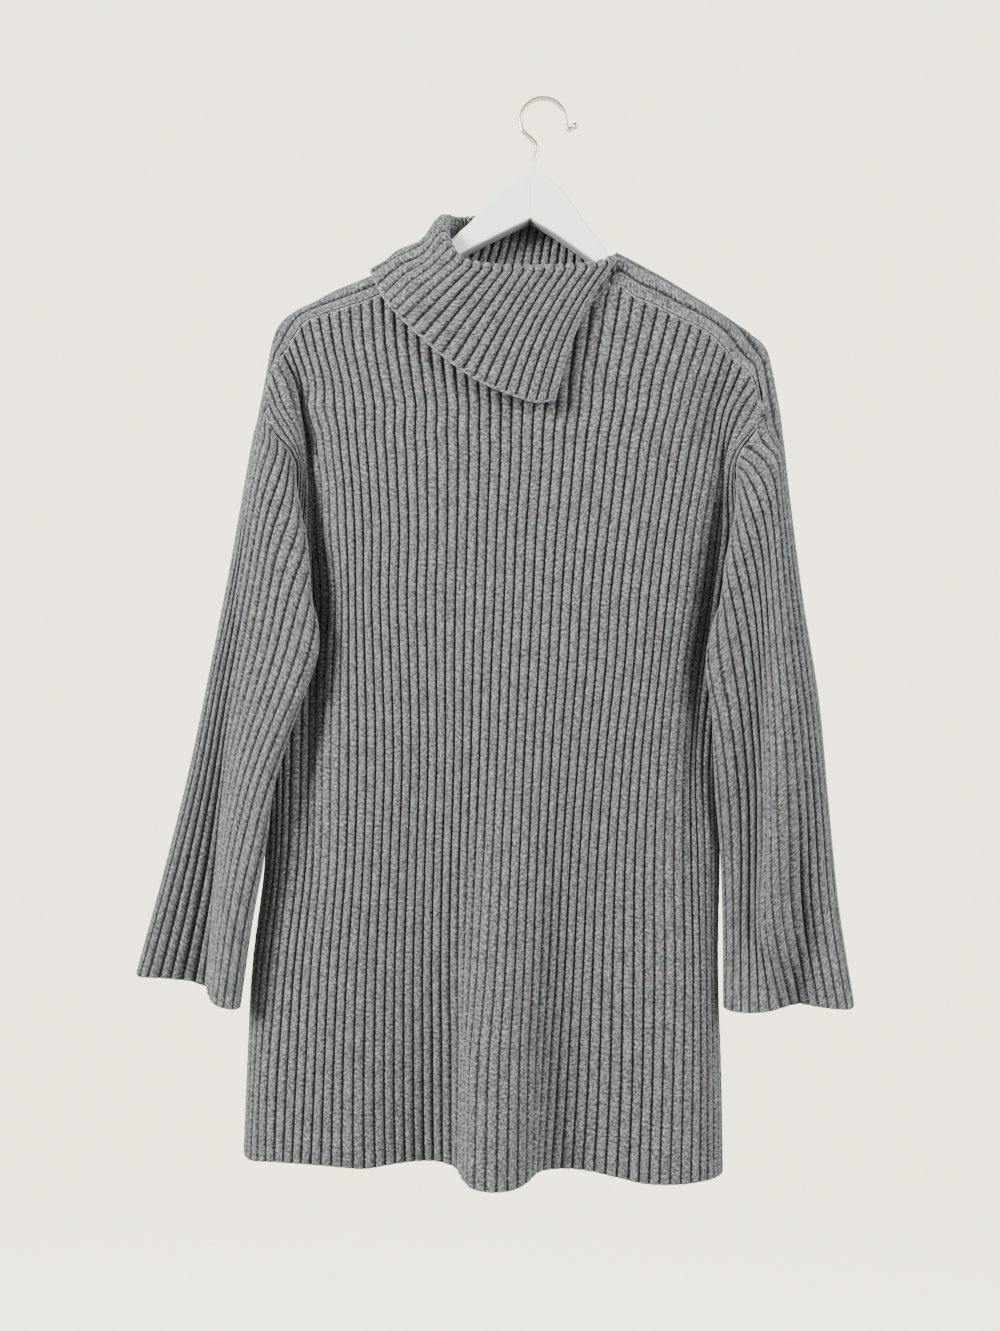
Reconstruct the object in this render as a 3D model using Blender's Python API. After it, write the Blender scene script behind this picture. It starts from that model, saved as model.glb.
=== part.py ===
"""Turtleneck tunic sweater hanging on a painted wooden clothes hanger.

Chunky ribbed knit with saddle shoulders, long sleeves and a wide collar folded down over a
slit at the wearer's left. The sweater is modelled as it hangs: every piece of cloth is one
shell of even wall, laid on a surface that is given by named offsets in millimetres.

Frame: +Z up, the front of the sweater faces -Y, +X is the wearer's left. The origin is the
top of the inside of the hook, where the hanger hangs. "left" and "right" in the names below
are the wearer's: the sleeve at -X is the right one.
"""
import math

import bmesh
import bpy
import numpy as np

MM = 0.001
WALL = 3.0              # thickness of the ribbed knit
SEAM_GAP = 0.8          # between two edges that are sewn together
COLLAR_CLEAR = 5.6      # the same for the folded collar on the shoulders
LAID_CLEAR = 4.4        # middle of a layer above the middle of the layer it lies on
BESIDE = 5.0            # a layer lies on another where it is this near to it sideways
RIBS_FRONT = 57         # ribs across the front, from side seam to side seam
RIBS_SLEEVE = 30        # ribs round a sleeve
RIBS_COLLAR = 46        # ribs round the collar, from one end at the slit to the other
RIB_PITCH = 9.4         # one rib and its groove, lying flat
SADDLE_HALF = 2.5       # ribs of the saddle strap on each side of its ridge
SADDLE_SQUARE = 2.6     # how square the strap bends over the hanger, 2 is an ellipse
SADDLE_INSET = 2.2      # middle of the strap's wall below its ridge
UNDERARM_SHARE = 0.69   # height of the underarm, as a share of the side edge of the body
CORNER = 6              # station of the shoulder tables where the top edge turns down into the armhole
UNDERARM_RIB = 17.5     # rib of the sleeve that meets the side seam
HEM_AT_RIGHT_SEAM = -975.0   # height of the hem at -X
HEM_AT_LEFT_SEAM = -993.0    # height of the hem at +X: the hanger hangs a little askew
CENTRE_FOLD = (         # rib, share of the fold's depth
    (20, 0), (23, 0.03), (25, 0.16), (27, 0.58), (28.7, 0.92), (30.3, 1), (32.3, 0.97), (34.2, 0.8), (36, 0.5),
    (38, 0.2), (40, 0.04), (42, 0))
CENTRE_FOLD_DEPTH = ((-1000, 45), (-900, 38), (-800, 27), (-700, 16), (-600, 6), (-520, 0), (-150, 0))
BACK_DEPTH = 13.0       # the back hangs this far behind the hanger's middle
BACK_WAVE = 2.5
COLLAR_ROLL = 5.0       # radius of the fold of the collar
COLLAR_INSET = 0.35     # ribs between the ends of the collar and the end of the strap
COLLAR_BULGE = 2.0      # the hanging part stands this far off a straight line
KNIT_GREY = (0.2, 0.2, 0.2)
HANGER_THICK = 18.0
HANGER_EDGE = 3.0       # rounding of the hanger's edges
HANGER_CLEAR = 2.3      # the straps' middle lies this far above the hanger's arms, their edges touch them
HOOK_WIRE = 4.0
HOOK_RADIUS = 20.8      # middle of the wire
HOOK_BORE = 2.4         # radius of the hole in the wood
HOOK_BORE_DEPTH = 16.0

# ---- offsets, in millimetres: where each rib of the front runs, by height ----------------
FRONT_RIBS = (0, 1.5, 3, 5, 6, 7, 9, 13, 29, 45, 49, 51, 53, 55, 57)
FRONT_X = {
    -1000: (-277, -274, -268, -253, -245, -237, -221, -183, -59, 76, 113, 132, 148, 159, 166),
    -900: (-273, -270, -264, -251, -242, -233, -216, -182, -55, 80, 116, 134, 148, 159, 164),
    -800: (-268, -265, -258, -243, -235, -227, -211, -178, -50, 81, 118, 135, 148, 156, 161),
    -700: (-256, -253, -246, -234, -225, -217, -202, -171, -46, 82, 117, 134, 148, 157, 163),
    -600: (-259, -254, -245, -232, -224, -216, -201, -168, -42, 88, 120, 135, 148, 157, 162),
    -520: (-261, -255, -244, -230, -222, -215, -199, -169, -39, 97, 128, 144, 157, 166, 172),
    -460: (-259, -253, -242, -227, -220, -212, -196, -170, -36, 103, 137, 153, 164, 173, 179),
    -400: (-249, -239, -229, -222, -218, -215, -201, -171, -34, 111, 144, 160, 172, 179, 181),
    -350: (-236, -227, -223, -220, -219, -216, -203, -174, -31, 119, 153, 166, 172, 176, 181),
    -330: (-237, -229, -224, -222, -221, -219, -206, -176, -30, 122, 157, 169, 175, 178, 182),
    -310: (-259, -250, -236, -224, -223, -221, -208, -178, -30, 126, 161, 173, 189, 197, 202),
    -290: (-269, -261, -248, -235, -227, -224, -215, -180, -29, 131, 165, 180, 202, 211, 219),
    -270: (-276, -266, -254, -242, -232, -226, -214, -182, -29, 136, 173, 193, 211, 223, 232),
    -230: (-299, -287, -276, -261, -251, -241, -225, -191, -28, 149, 188, 217, 235, 249, 262),
    -190: (-323, -309, -295, -277, -267, -256, -237, -197, -27, 162, 204, 233, 256, 274, 290),
    -150: (-346, -328, -314, -294, -282, -270, -248, -202, -26, 174, 220, 252, 277, 298, 316),
}
DEPTH_RIBS = (0, 1.5, 3, 5, 6, 7, 9, 13, 21, 29, 37, 45, 49, 51, 53, 55, 57)
FRONT_Y = {
    -1000: (4, -6, -14, -21, -24, -26, -28, -30, -14, -26, -18, -28, -33, -30, -22, -10, 4),
    -900: (4, -5, -12, -20, -22, -25, -28, -30, -17, -27, -20, -28, -32, -29, -21, -9, 4),
    -800: (4, -4, -11, -18, -21, -24, -28, -31, -21, -28, -23, -29, -31, -27, -19, -8, 4),
    -700: (4, -3, -9, -15, -18, -21, -26, -31, -26, -30, -27, -30, -29, -24, -16, -7, 4),
    -600: (5, -1, -5, -9, -12, -14, -22, -30, -31, -32, -31, -31, -25, -18, -10, -4, 5),
    -520: (5, 0, -4, -8, -10, -13, -20, -29, -33, -35, -33, -30, -22, -14, -8, -3, 5),
    -460: (5, 0, -4, -8, -10, -13, -20, -28, -33, -35, -33, -29, -22, -14, -8, -3, 5),
    -400: (0, -4, -7, -9, -11, -13, -20, -27, -31, -32, -31, -28, -22, -15, -9, -5, 0),
    -350: (-8, -12, -12, -10, -9, -10, -18, -26, -29, -30, -29, -27, -18, -14, -12, -12, -8),
    -330: (-18, -20, -20, -16, -11, -8, -18, -26, -28, -29, -28, -27, -14, -15, -20, -20, -18),
    -310: (-26, -28, -27, -27, -20, -8, -18, -25, -28, -29, -28, -26, -12, -20, -28, -28, -26),
    -290: (-25, -26, -26, -26, -25, -10, -17, -24, -27, -28, -27, -25, -13, -24, -27, -27, -25),
    -270: (-24, -25, -26, -25, -26, -13, -16, -24, -27, -28, -27, -25, -14, -25, -26, -26, -25),
    -230: (-20, -20, -21, -22, -20, -18, -18, -22, -26, -28, -26, -24, -20, -21, -22, -22, -22),
    -190: (-16, -16, -16, -16, -16, -16, -16, -18, -23, -27, -25, -21, -20, -20, -20, -20, -20),
    -150: (-14, -14, -14, -14, -14, -14, -14, -15, -18, -25, -20, -18, -18, -18, -18, -18, -18),
}
FRONT_TOP = (  # rib, height
    (0, -460), (0.7, -407), (1.2, -366), (1.6, -337), (2, -315), (2.5, -294), (3, -277), (4, -266), (5,
        -256), (6, -246), (7, -238), (8, -230), (9, -222), (10, -213), (11, -207), (12, -204), (13,
        -201), (15, -195), (17, -188), (19, -178), (21, -166), (22.7, -155), (24, -176), (26, -192), (28,
        -202), (31, -206), (33, -203), (35, -195), (36.6, -177), (38.2, -188), (39.9, -196), (41.7,
        -206), (43.7, -215), (45.6, -226), (47.2, -237), (49.4, -252), (50.9, -269), (52, -282), (53,
        -297), (53.4, -316), (53.8, -327), (54.5, -339), (55.3, -361), (56, -398), (57, -460))
SHOULDER_RIGHT = (  # rib of the front, ridge x, ridge z, back seam x, y, z
    (22.7, -99, -130, -98, 14, -145),
    (20, -128.5, -146.5, -125, 14, -160),
    (17.3, -160, -163.5, -154, 14, -175),
    (14.5, -189.5, -175.5, -182, 14, -188),
    (12.2, -210, -186.5, -202, 14, -198),
    (10.4, -228.5, -195.5, -218, 14, -206),
    (9, -241.5, -207, -230, 14, -216),
    (7, -249, -223, -239, 14, -232),
    (4.4, -254, -252, -248, 14, -254),
    (2.5, -259.5, -280, -254, 13, -277),
)
SHOULDER_LEFT = (  # rib of the front, ridge x, ridge z, back seam x, y, z
    (36.6, 67.5, -141.5, 67, 13, -146),
    (38.2, 89.5, -153, 91, 13, -157),
    (39.9, 112, -165.5, 112, 14, -170),
    (41.7, 134, -179, 134, 14, -183),
    (43.7, 155.5, -192.5, 155, 14, -197),
    (45.6, 175, -205.5, 174, 14, -211),
    (47.2, 191.5, -217, 189, 14, -224),
    (49.4, 205.5, -230, 201, 14, -240),
    (51.57, 215.5, -260.5, 210, 14, -269),
    (53.25, 219.5, -288, 214, 13, -291),
)
SLEEVE_RIGHT = (  # outer z, inner z, then (rib, x, y) round the sleeve
    (-304, -482, ((0, -264, -5), (2.5, -257, -24), (5, -247, -35), (7.5, -232, -39), (9, -220, -41),
        (10.5, -211, -36), (12, -217, -28), (14.5, -234, -22), (17, -257, -15), (18.5, -269, -5), (20,
        -272, 7), (22.5, -270, 13), (25.5, -267, 13), (28, -265, 8))),
    (-343, -513, ((0, -271, -5), (2.5, -265, -23), (5, -257, -34), (7.5, -246, -40), (10, -229, -45),
        (12, -212, -47), (13.3, -202, -41), (14.5, -209, -31), (16.5, -235, -25), (18.5, -261, -17), (20,
        -275, -6), (21.5, -280, 6), (23.5, -280, 12), (26, -277, 12), (28.3, -274, 8))),
    (-434, -564, ((0, -288, -3), (1.5, -284, -12), (3.5, -278, -14), (6, -265, -24), (8.5, -248, -35),
        (11, -232, -43), (12.7, -221, -43), (13.6, -219, -37), (14.6, -225, -29), (17, -248, -25), (19,
        -268, -19), (20.5, -279, -9), (22, -284, 3), (24, -285, 11), (26.5, -287, 12), (28.5, -289, 7))),
    (-527, -621, ((0, -306, -3), (1.5, -303, -11), (3.5, -296, -11), (5, -289, -9), (7, -280, -19), (9,
        -270, -31), (11, -258, -39), (13, -246, -41), (14, -240, -36), (15, -244, -28), (17, -262, -22),
        (19, -278, -12), (20.5, -287, -2), (22.5, -293, 9), (25, -299, 12), (28, -307, 8))),
    (-624, -688, ((0, -326, -4), (1.5, -322, -11), (4, -310, -8), (6.5, -296, -5), (8.5, -289, -18),
        (10.5, -281, -31), (12.5, -269, -39), (14, -257, -40), (15, -252, -35), (16, -254, -26), (18,
        -268, -14), (20, -278, -2), (21.5, -286, 8), (24.5, -301, 12), (27.5, -320, 11), (29, -326, 5))),
    (-716, -755, ((0, -349, -4), (1.5, -345, -10), (4.5, -324, -5), (7, -304, -1), (9, -298, -16), (11,
        -291, -31), (12.5, -283, -39), (14, -272, -40), (15.2, -265, -35), (16.3, -266, -25), (18.5,
        -277, -8), (20, -285, 4), (22, -299, 11), (25, -324, 12), (28, -346, 10), (29, -350, 4))),
    (-808, -832, ((0, -374, -4), (1.5, -370, -10), (4.5, -344, -3), (8, -311, 2), (9.7, -306, -14),
        (11.3, -300, -30), (13, -291, -39), (14.5, -280, -40), (15.5, -276, -34), (16.5, -277, -24),
        (18.5, -286, -6), (20, -294, 5), (22, -309, 11), (25.5, -339, 12), (28.5, -369, 10), (29.3, -375,
        4))),
)
SLEEVE_LEFT = (  # outer z, inner z, then (rib, x, y) round the sleeve
    (-315, -477, ((0, 220, -5), (2.5, 212, -24), (5, 200, -34), (7.5, 183, -38), (9.5, 170, -40), (11,
        161, -36), (12.5, 166, -28), (15, 180, -22), (17, 189, -14), (18.5, 196, -4), (20, 199, 7),
        (22.5, 203, 13), (25.5, 211, 13), (28, 219, 9))),
    (-361, -518, ((0, 225, -5), (2.5, 218, -21), (5, 209, -29), (7.5, 196, -33), (10, 178, -36), (12.3,
        153, -42), (13.4, 142, -37), (14.6, 150, -28), (16.5, 169, -22), (18.3, 187, -14), (19.8, 197,
        -4), (21.2, 201, 6), (23.5, 206, 12), (26, 215, 12), (28.3, 225, 8))),
    (-462, -572, ((0, 237, -8), (1.5, 233, -17), (3, 225, -24), (5, 213, -35), (6, 207, -36), (7.5, 202,
        -30), (9, 196, -25), (11, 181, -26), (13, 162, -30), (14.2, 154, -27), (15.3, 156, -20), (17,
        168, -17), (18.7, 182, -8), (20.2, 189, 3), (22, 199, 10), (24.5, 217, 12), (27, 234, 11), (28.7,
        239, 3))),
    (-554, -635, ((0, 251, -10), (1.3, 245, -19), (3, 235, -27), (5, 220, -39), (6.3, 210, -46), (7.3,
        204, -42), (9, 200, -29), (10.5, 193, -23), (12.5, 176, -23), (14, 162, -27), (15, 157, -23),
        (16, 161, -15), (17.3, 169, -5), (18.5, 176, 4), (20.5, 191, 10), (23.5, 222, 12), (27, 247, 10),
        (28.7, 253, 1))),
    (-646, -698, ((0, 259, -12), (1.3, 254, -20), (3.2, 241, -27), (5.2, 224, -38), (6.5, 209, -47),
        (7.5, 204, -42), (9, 201, -29), (10.5, 194, -21), (12.5, 180, -20), (14, 168, -18), (15, 164,
        -11), (16, 167, -1), (17.5, 180, 8), (20.5, 205, 11), (24, 233, 12), (27, 257, 10), (28.8, 262,
        1))),
    (-742, -770, ((0, 268, -14), (1.3, 262, -21), (3.3, 247, -20), (5, 233, -17), (6.2, 218, -30), (7.2,
        208, -43), (8, 202, -42), (9.3, 197, -31), (10.7, 192, -24), (12.5, 179, -22), (14, 170, -20),
        (15, 166, -12), (16, 169, -1), (18, 186, 8), (21, 212, 11), (24.5, 240, 12), (27.5, 266, 9),
        (28.8, 271, 0))),
    (-834, -836, ((0, 281, -20), (1.2, 276, -27), (3.2, 261, -24), (5, 248, -14), (6.6, 236, -3), (8,
        221, -14), (9.3, 206, -28), (10.6, 192, -34), (12.2, 180, -33), (13.7, 170, -26), (14.8, 166,
        -15), (15.8, 169, -3), (17.5, 183, 7), (20.5, 212, 11), (24, 245, 12), (27, 272, 9), (28.7, 284,
        -4))),
)
COLLAR = (  # rib, fold x, y, z, free edge x, y, z
    (0, 64, -25, -152, 10, -42, -286),
    (2, 46, -31, -160, -8, -44, -288),
    (4, 27, -35, -163, -26, -44, -283),
    (8, -10, -39, -166, -64, -43, -266),
    (12, -47, -41, -165, -102, -40, -237),
    (15, -72, -39, -159, -128, -36, -212),
    (17.5, -86, -32, -143, -144, -30, -193),
    (20, -93, -18, -121, -155, -14, -171),
    (22.5, -92, 0, -107, -158, 4, -160),
    (25, -82, 15, -105, -149, 19, -170),
    (28, -68, 22, -102, -120, 23, -193),
    (33, -32, 24, -97, -61, 24, -218),
    (38, 5, 23, -100, -7, 24, -227),
    (43, 38, 21, -121, 40, 24, -240),
    (46, 55, 20, -132, 60, 24, -252),
)
HANGER = (  # x, z round the front face, from the crown down the left arm and back along the right
    (-9.5, -71.5), (-23, -74.5), (-34.5, -80.5), (-44.5, -88.5), (-54.5, -99.5), (-62, -109), (-69.5,
        -117), (-78.5, -124.5), (-88, -132.5), (-104, -143), (-128, -157), (-159, -172.5), (-188.5,
        -184), (-208.5, -194.5), (-223.5, -203.5), (-232.5, -214.5), (-236.5, -225.5), (-231, -234.5),
        (-218, -234), (-196, -218), (-159, -194.5), (-122.5, -172.5), (-95, -155.5), (-76.5, -145), (-43,
        -128), (-12, -113), (13.5, -128), (48.5, -153), (70.5, -170.5), (96, -191.5), (125.5, -213.5),
        (155, -235.5), (177, -251.5), (190, -256), (197, -249.5), (196, -238.5), (188, -227), (173.5,
        -215.5), (154, -202.5), (133, -188.5), (111, -174.5), (89, -163), (64, -148.5), (55.5, -136),
        (44.5, -122.5), (36, -110), (27.5, -97.5), (20.5, -87.5), (13.5, -80.5), (3.5, -74))
ARMHOLE_RIGHT = (  # share of the side edge, rib of the front at the edge
    (0, 0), (0.69, 0), (0.754, 0.7), (0.809, 1.2), (0.847, 1.6), (0.876, 2), (0.905, 2.5), (0.927, 3),
    (0.942, 4), (0.955, 5), (0.968, 6), (0.979, 7), (0.989, 8), (1, 9))
ARMHOLE_LEFT = (   # the same, ribs counted from the other seam
    (0, 0), (0.69, 0), (0.787, 1), (0.836, 1.7), (0.865, 2.5), (0.881, 3.2), (0.905, 3.75), (0.921, 4),
    (0.94, 5), (0.958, 6.1), (0.98, 7.6), (1, 9.8))
ARMHOLE_SEWN = (   # rib of the sleeve, share of the front's side edge it is sewn to
    (2.5, 0.905), (3.5, 0.888), (5.5, 0.865), (8, 0.846), (10, 0.815), (12, 0.776), (15, 0.727), (17.5, 0.69))
ARMHOLE_LAP = (    # rib of the sleeve, how far its edge lies over the front's edge, how far beside it
    (2.5, 0, 0.8), (6, 0, 0.8), (7, 2.2, 0.8), (8, 4.4, 0), (14, 4.4, 0), (16, 3.6, 2.4), (17.5, 0, 4.4))
BACK_NECK = (      # x, z along the back neckline
    (-98, -145), (-90, -150), (-60, -156), (-15, -158), (30, -156), (58, -150), (67, -146))


def spline(knots, values, at):
    """Smooth curve through the values at the knots, held level beyond the ends."""
    knots, values, at = (np.asarray(a, float) for a in (knots, values, at))
    shape = at.shape + values.shape[1:]
    at = at.reshape(-1)
    wide = (-1,) + (1,) * (values.ndim - 1)
    step = np.diff(knots).reshape(wide)
    rise = np.diff(values, axis=0) / step
    inner = (step[1:] * rise[:-1] + step[:-1] * rise[1:]) / (step[1:] + step[:-1])
    slope = np.concatenate([rise[:1], inner, rise[-1:]])
    at = np.clip(at, knots[0], knots[-1])
    i = np.clip(np.searchsorted(knots, at, side="right") - 1, 0, len(knots) - 2)
    span = (knots[i + 1] - knots[i]).reshape(wide)
    u = (at - knots[i]).reshape(wide) / span
    curve = (values[i] * (1 + 2 * u) * (1 - u) ** 2 + slope[i] * span * u * (1 - u) ** 2
             + values[i + 1] * u * u * (3 - 2 * u) - slope[i + 1] * span * u * u * (1 - u))
    return curve.reshape(shape)


def round_spline(knots, values, at, period):
    """The same through knots on a ring of the given length."""
    knots, values = np.asarray(knots, float), np.asarray(values, float)
    wide = np.concatenate([knots[-3:] - period, knots, knots[:3] + period])
    return spline(wide, np.concatenate([values[-3:], values, values[:3]]), np.mod(at, period))


def by_height(table):
    """Heights in rising order and the row of offsets at each."""
    return np.array(sorted(table)), np.array([table[z] for z in sorted(table)], float)


def from_table(table, at):
    knots, values = np.array(table, float).T
    return spline(knots, values, at)


def in_net(net, row, col):
    """Smooth reading of a fine net of numbers at fractional rows and columns."""
    def weights(t):
        return ((-t + 2 * t ** 2 - t ** 3) / 2, (2 - 5 * t ** 2 + 3 * t ** 3) / 2,
                (t + 4 * t ** 2 - 3 * t ** 3) / 2, (t ** 3 - t ** 2) / 2)

    row, col = np.clip(row, 0, net.shape[0] - 1), np.clip(col, 0, net.shape[1] - 1)
    r = np.minimum(row.astype(int), net.shape[0] - 2)
    c = np.minimum(col.astype(int), net.shape[1] - 2)
    total = np.zeros(row.shape)
    for i, a in enumerate(weights(row - r)):
        for j, b in enumerate(weights(col - c)):
            near = net[np.clip(r + i - 1, 0, net.shape[0] - 1), np.clip(c + j - 1, 0, net.shape[1] - 1)]
            total += a * b * near
    return total


class Front:
    """The front panel: ribs from seam to seam (u), from the hem to the top edge (v)."""

    def __init__(self):
        self.z = np.linspace(-1000, -150, 69)
        self.rib = np.linspace(0, RIBS_FRONT, 2 * RIBS_FRONT + 1)
        rows, x = by_height(FRONT_X)
        self.x = spline(FRONT_RIBS, spline(rows, x, self.z).T, self.rib).T
        rows, y = by_height(FRONT_Y)
        self.y = spline(DEPTH_RIBS, spline(rows, y, self.z).T, self.rib).T
        self.y -= np.outer(from_table(CENTRE_FOLD_DEPTH, self.z), from_table(CENTRE_FOLD, self.rib))
        self.crowd()

    def crowd(self):
        """Where the cloth runs towards or away from the front, its ribs stand closer in x."""
        slope = np.gradient(self.y, self.rib, axis=1)
        lay = np.sqrt(np.maximum(1 - (slope / RIB_PITCH) ** 2, 0.35 ** 2))
        middle = (self.rib >= 13) & (self.rib <= 45)
        x = self.x[:, middle]
        run = np.diff(x, axis=1) * (lay[:, middle][:, 1:] + lay[:, middle][:, :-1]) / 2
        run *= (x[:, -1:] - x[:, :1]) / run.sum(axis=1, keepdims=True)
        self.x[:, middle] = x[:, :1] + np.concatenate([np.zeros((len(x), 1)), np.cumsum(run, axis=1)], axis=1)

    def place(self, rib, z):
        """The point of a rib at a height; both may be arrays of one shape."""
        rib, z = np.broadcast_arrays(np.asarray(rib, float), np.asarray(z, float))
        row, col = (z - self.z[0]) / (self.z[1] - self.z[0]), rib * 2
        return np.stack([in_net(self.x, row, col), in_net(self.y, row, col), z], axis=-1)

    def ribs(self, u, v):
        low = np.interp(v, *np.array(ARMHOLE_RIGHT).T)
        high = RIBS_FRONT - np.interp(v, *np.array(ARMHOLE_LEFT).T)
        return low + (high - low) * u

    def at(self, u, v):
        """The point at share u across and share v up."""
        u, v = np.broadcast_arrays(np.asarray(u, float), np.asarray(v, float))
        hem = HEM_AT_RIGHT_SEAM + (HEM_AT_LEFT_SEAM - HEM_AT_RIGHT_SEAM) * u
        top = from_table(FRONT_TOP, self.ribs(u, 1))
        return self.place(self.ribs(u, v), hem + (top - hem) * v)

    def normal(self, u, v):
        """Direction out of the front at a side edge."""
        step = 0.02 if u < 0.5 else -0.02
        across = (self.at(u + step, v) - self.at(u, v)) / step
        up = self.at(u, v + 0.005) - self.at(u, v - 0.005)
        return unit(np.cross(across, up))

    def share(self, rib):
        """Share across of the column that ends in the top edge at a rib."""
        return (np.asarray(rib, float) - self.ribs(0, 1)) / (self.ribs(1, 1) - self.ribs(0, 1))

    def up_side(self, rib):
        """Share up the side edge at which it meets a rib."""
        table = np.array(ARMHOLE_RIGHT[1:] if rib < RIBS_FRONT / 2 else ARMHOLE_LEFT[1:])
        return np.interp(min(rib, RIBS_FRONT - rib), table[:, 1], table[:, 0])

    def edge(self, rib):
        """The point of the shoulder and neck edge at a rib."""
        u = np.clip(self.share(rib), 0, 1)
        return self.at(u, 1.0 if 0 < u < 1 else self.up_side(rib))


class Back:
    """The back panel: straight ribs between the side seams and the back armholes."""

    def __init__(self, front):
        self.front = front
        top = [(s[3], s[5]) for s in SHOULDER_RIGHT[CORNER:0:-1]] + list(BACK_NECK)
        self.line = np.array(top + [(s[3], s[5]) for s in SHOULDER_LEFT[1:CORNER + 1]], float)

    def side(self, u, v):
        """The side edge at shares v up: the side seam, then the armhole up to the shoulder."""
        seam = self.front.at(np.full(v.shape, float(u)), np.minimum(v, UNDERARM_SHARE))
        start = self.front.at(float(u), UNDERARM_SHARE)
        stations = (SHOULDER_LEFT if u else SHOULDER_RIGHT)[:CORNER - 1:-1]
        share = [UNDERARM_SHARE] + [float(self.front.up_side(s[0])) for s in stations]
        x = np.interp(v, share, [start[0]] + [s[3] for s in stations])
        z = np.interp(v, share, [start[2]] + [s[5] - SEAM_GAP for s in stations])
        y = start[1] + SEAM_GAP + (BACK_DEPTH - start[1] - SEAM_GAP) * np.clip((v - UNDERARM_SHARE) * 9, 0, 1)
        below = v < UNDERARM_SHARE
        return (np.where(below, seam[..., 0], x), np.where(below, seam[..., 1] + SEAM_GAP, y),
                np.where(below, seam[..., 2], z))

    def at(self, u, v):
        """The point at share u across and share v up."""
        u, v = np.broadcast_arrays(np.asarray(u, float), np.asarray(v, float))
        x0, y0, z0 = self.side(0, v)
        x1, y1, z1 = self.side(1, v)
        from_seam = np.minimum(u, 1 - u) * RIBS_FRONT / 3
        flat = 1 - (1 - np.clip(from_seam, 0, 1)) ** 2.2
        wave = BACK_WAVE * np.sin(u * 6 * math.pi) * np.clip((0.75 - v) / 0.6, 0, 1)
        y = np.where(u < 0.5, y0, y1) * (1 - flat) + (BACK_DEPTH + wave) * flat
        hem = HEM_AT_RIGHT_SEAM + (HEM_AT_LEFT_SEAM - HEM_AT_RIGHT_SEAM) * u
        first, last = self.line[0], self.line[-1]
        z = hem + (from_table(self.line, first[0] + (last[0] - first[0]) * u) - SEAM_GAP - hem) * v
        for edge, near, low, high in ((z0, 1 - 4 * u, HEM_AT_RIGHT_SEAM, first), (z1, 4 * u - 3, HEM_AT_LEFT_SEAM, last)):
            z = z + (edge - low - (high[1] - SEAM_GAP - low) * v) * np.clip(near, 0, 1) ** 2
        return np.stack([x0 + (x1 - x0) * u, y, z], axis=-1)

    def share(self, x):
        """Share across of the column that ends in the top edge at x."""
        return (np.asarray(x, float) - self.line[0, 0]) / (self.line[-1, 0] - self.line[0, 0])


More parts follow.
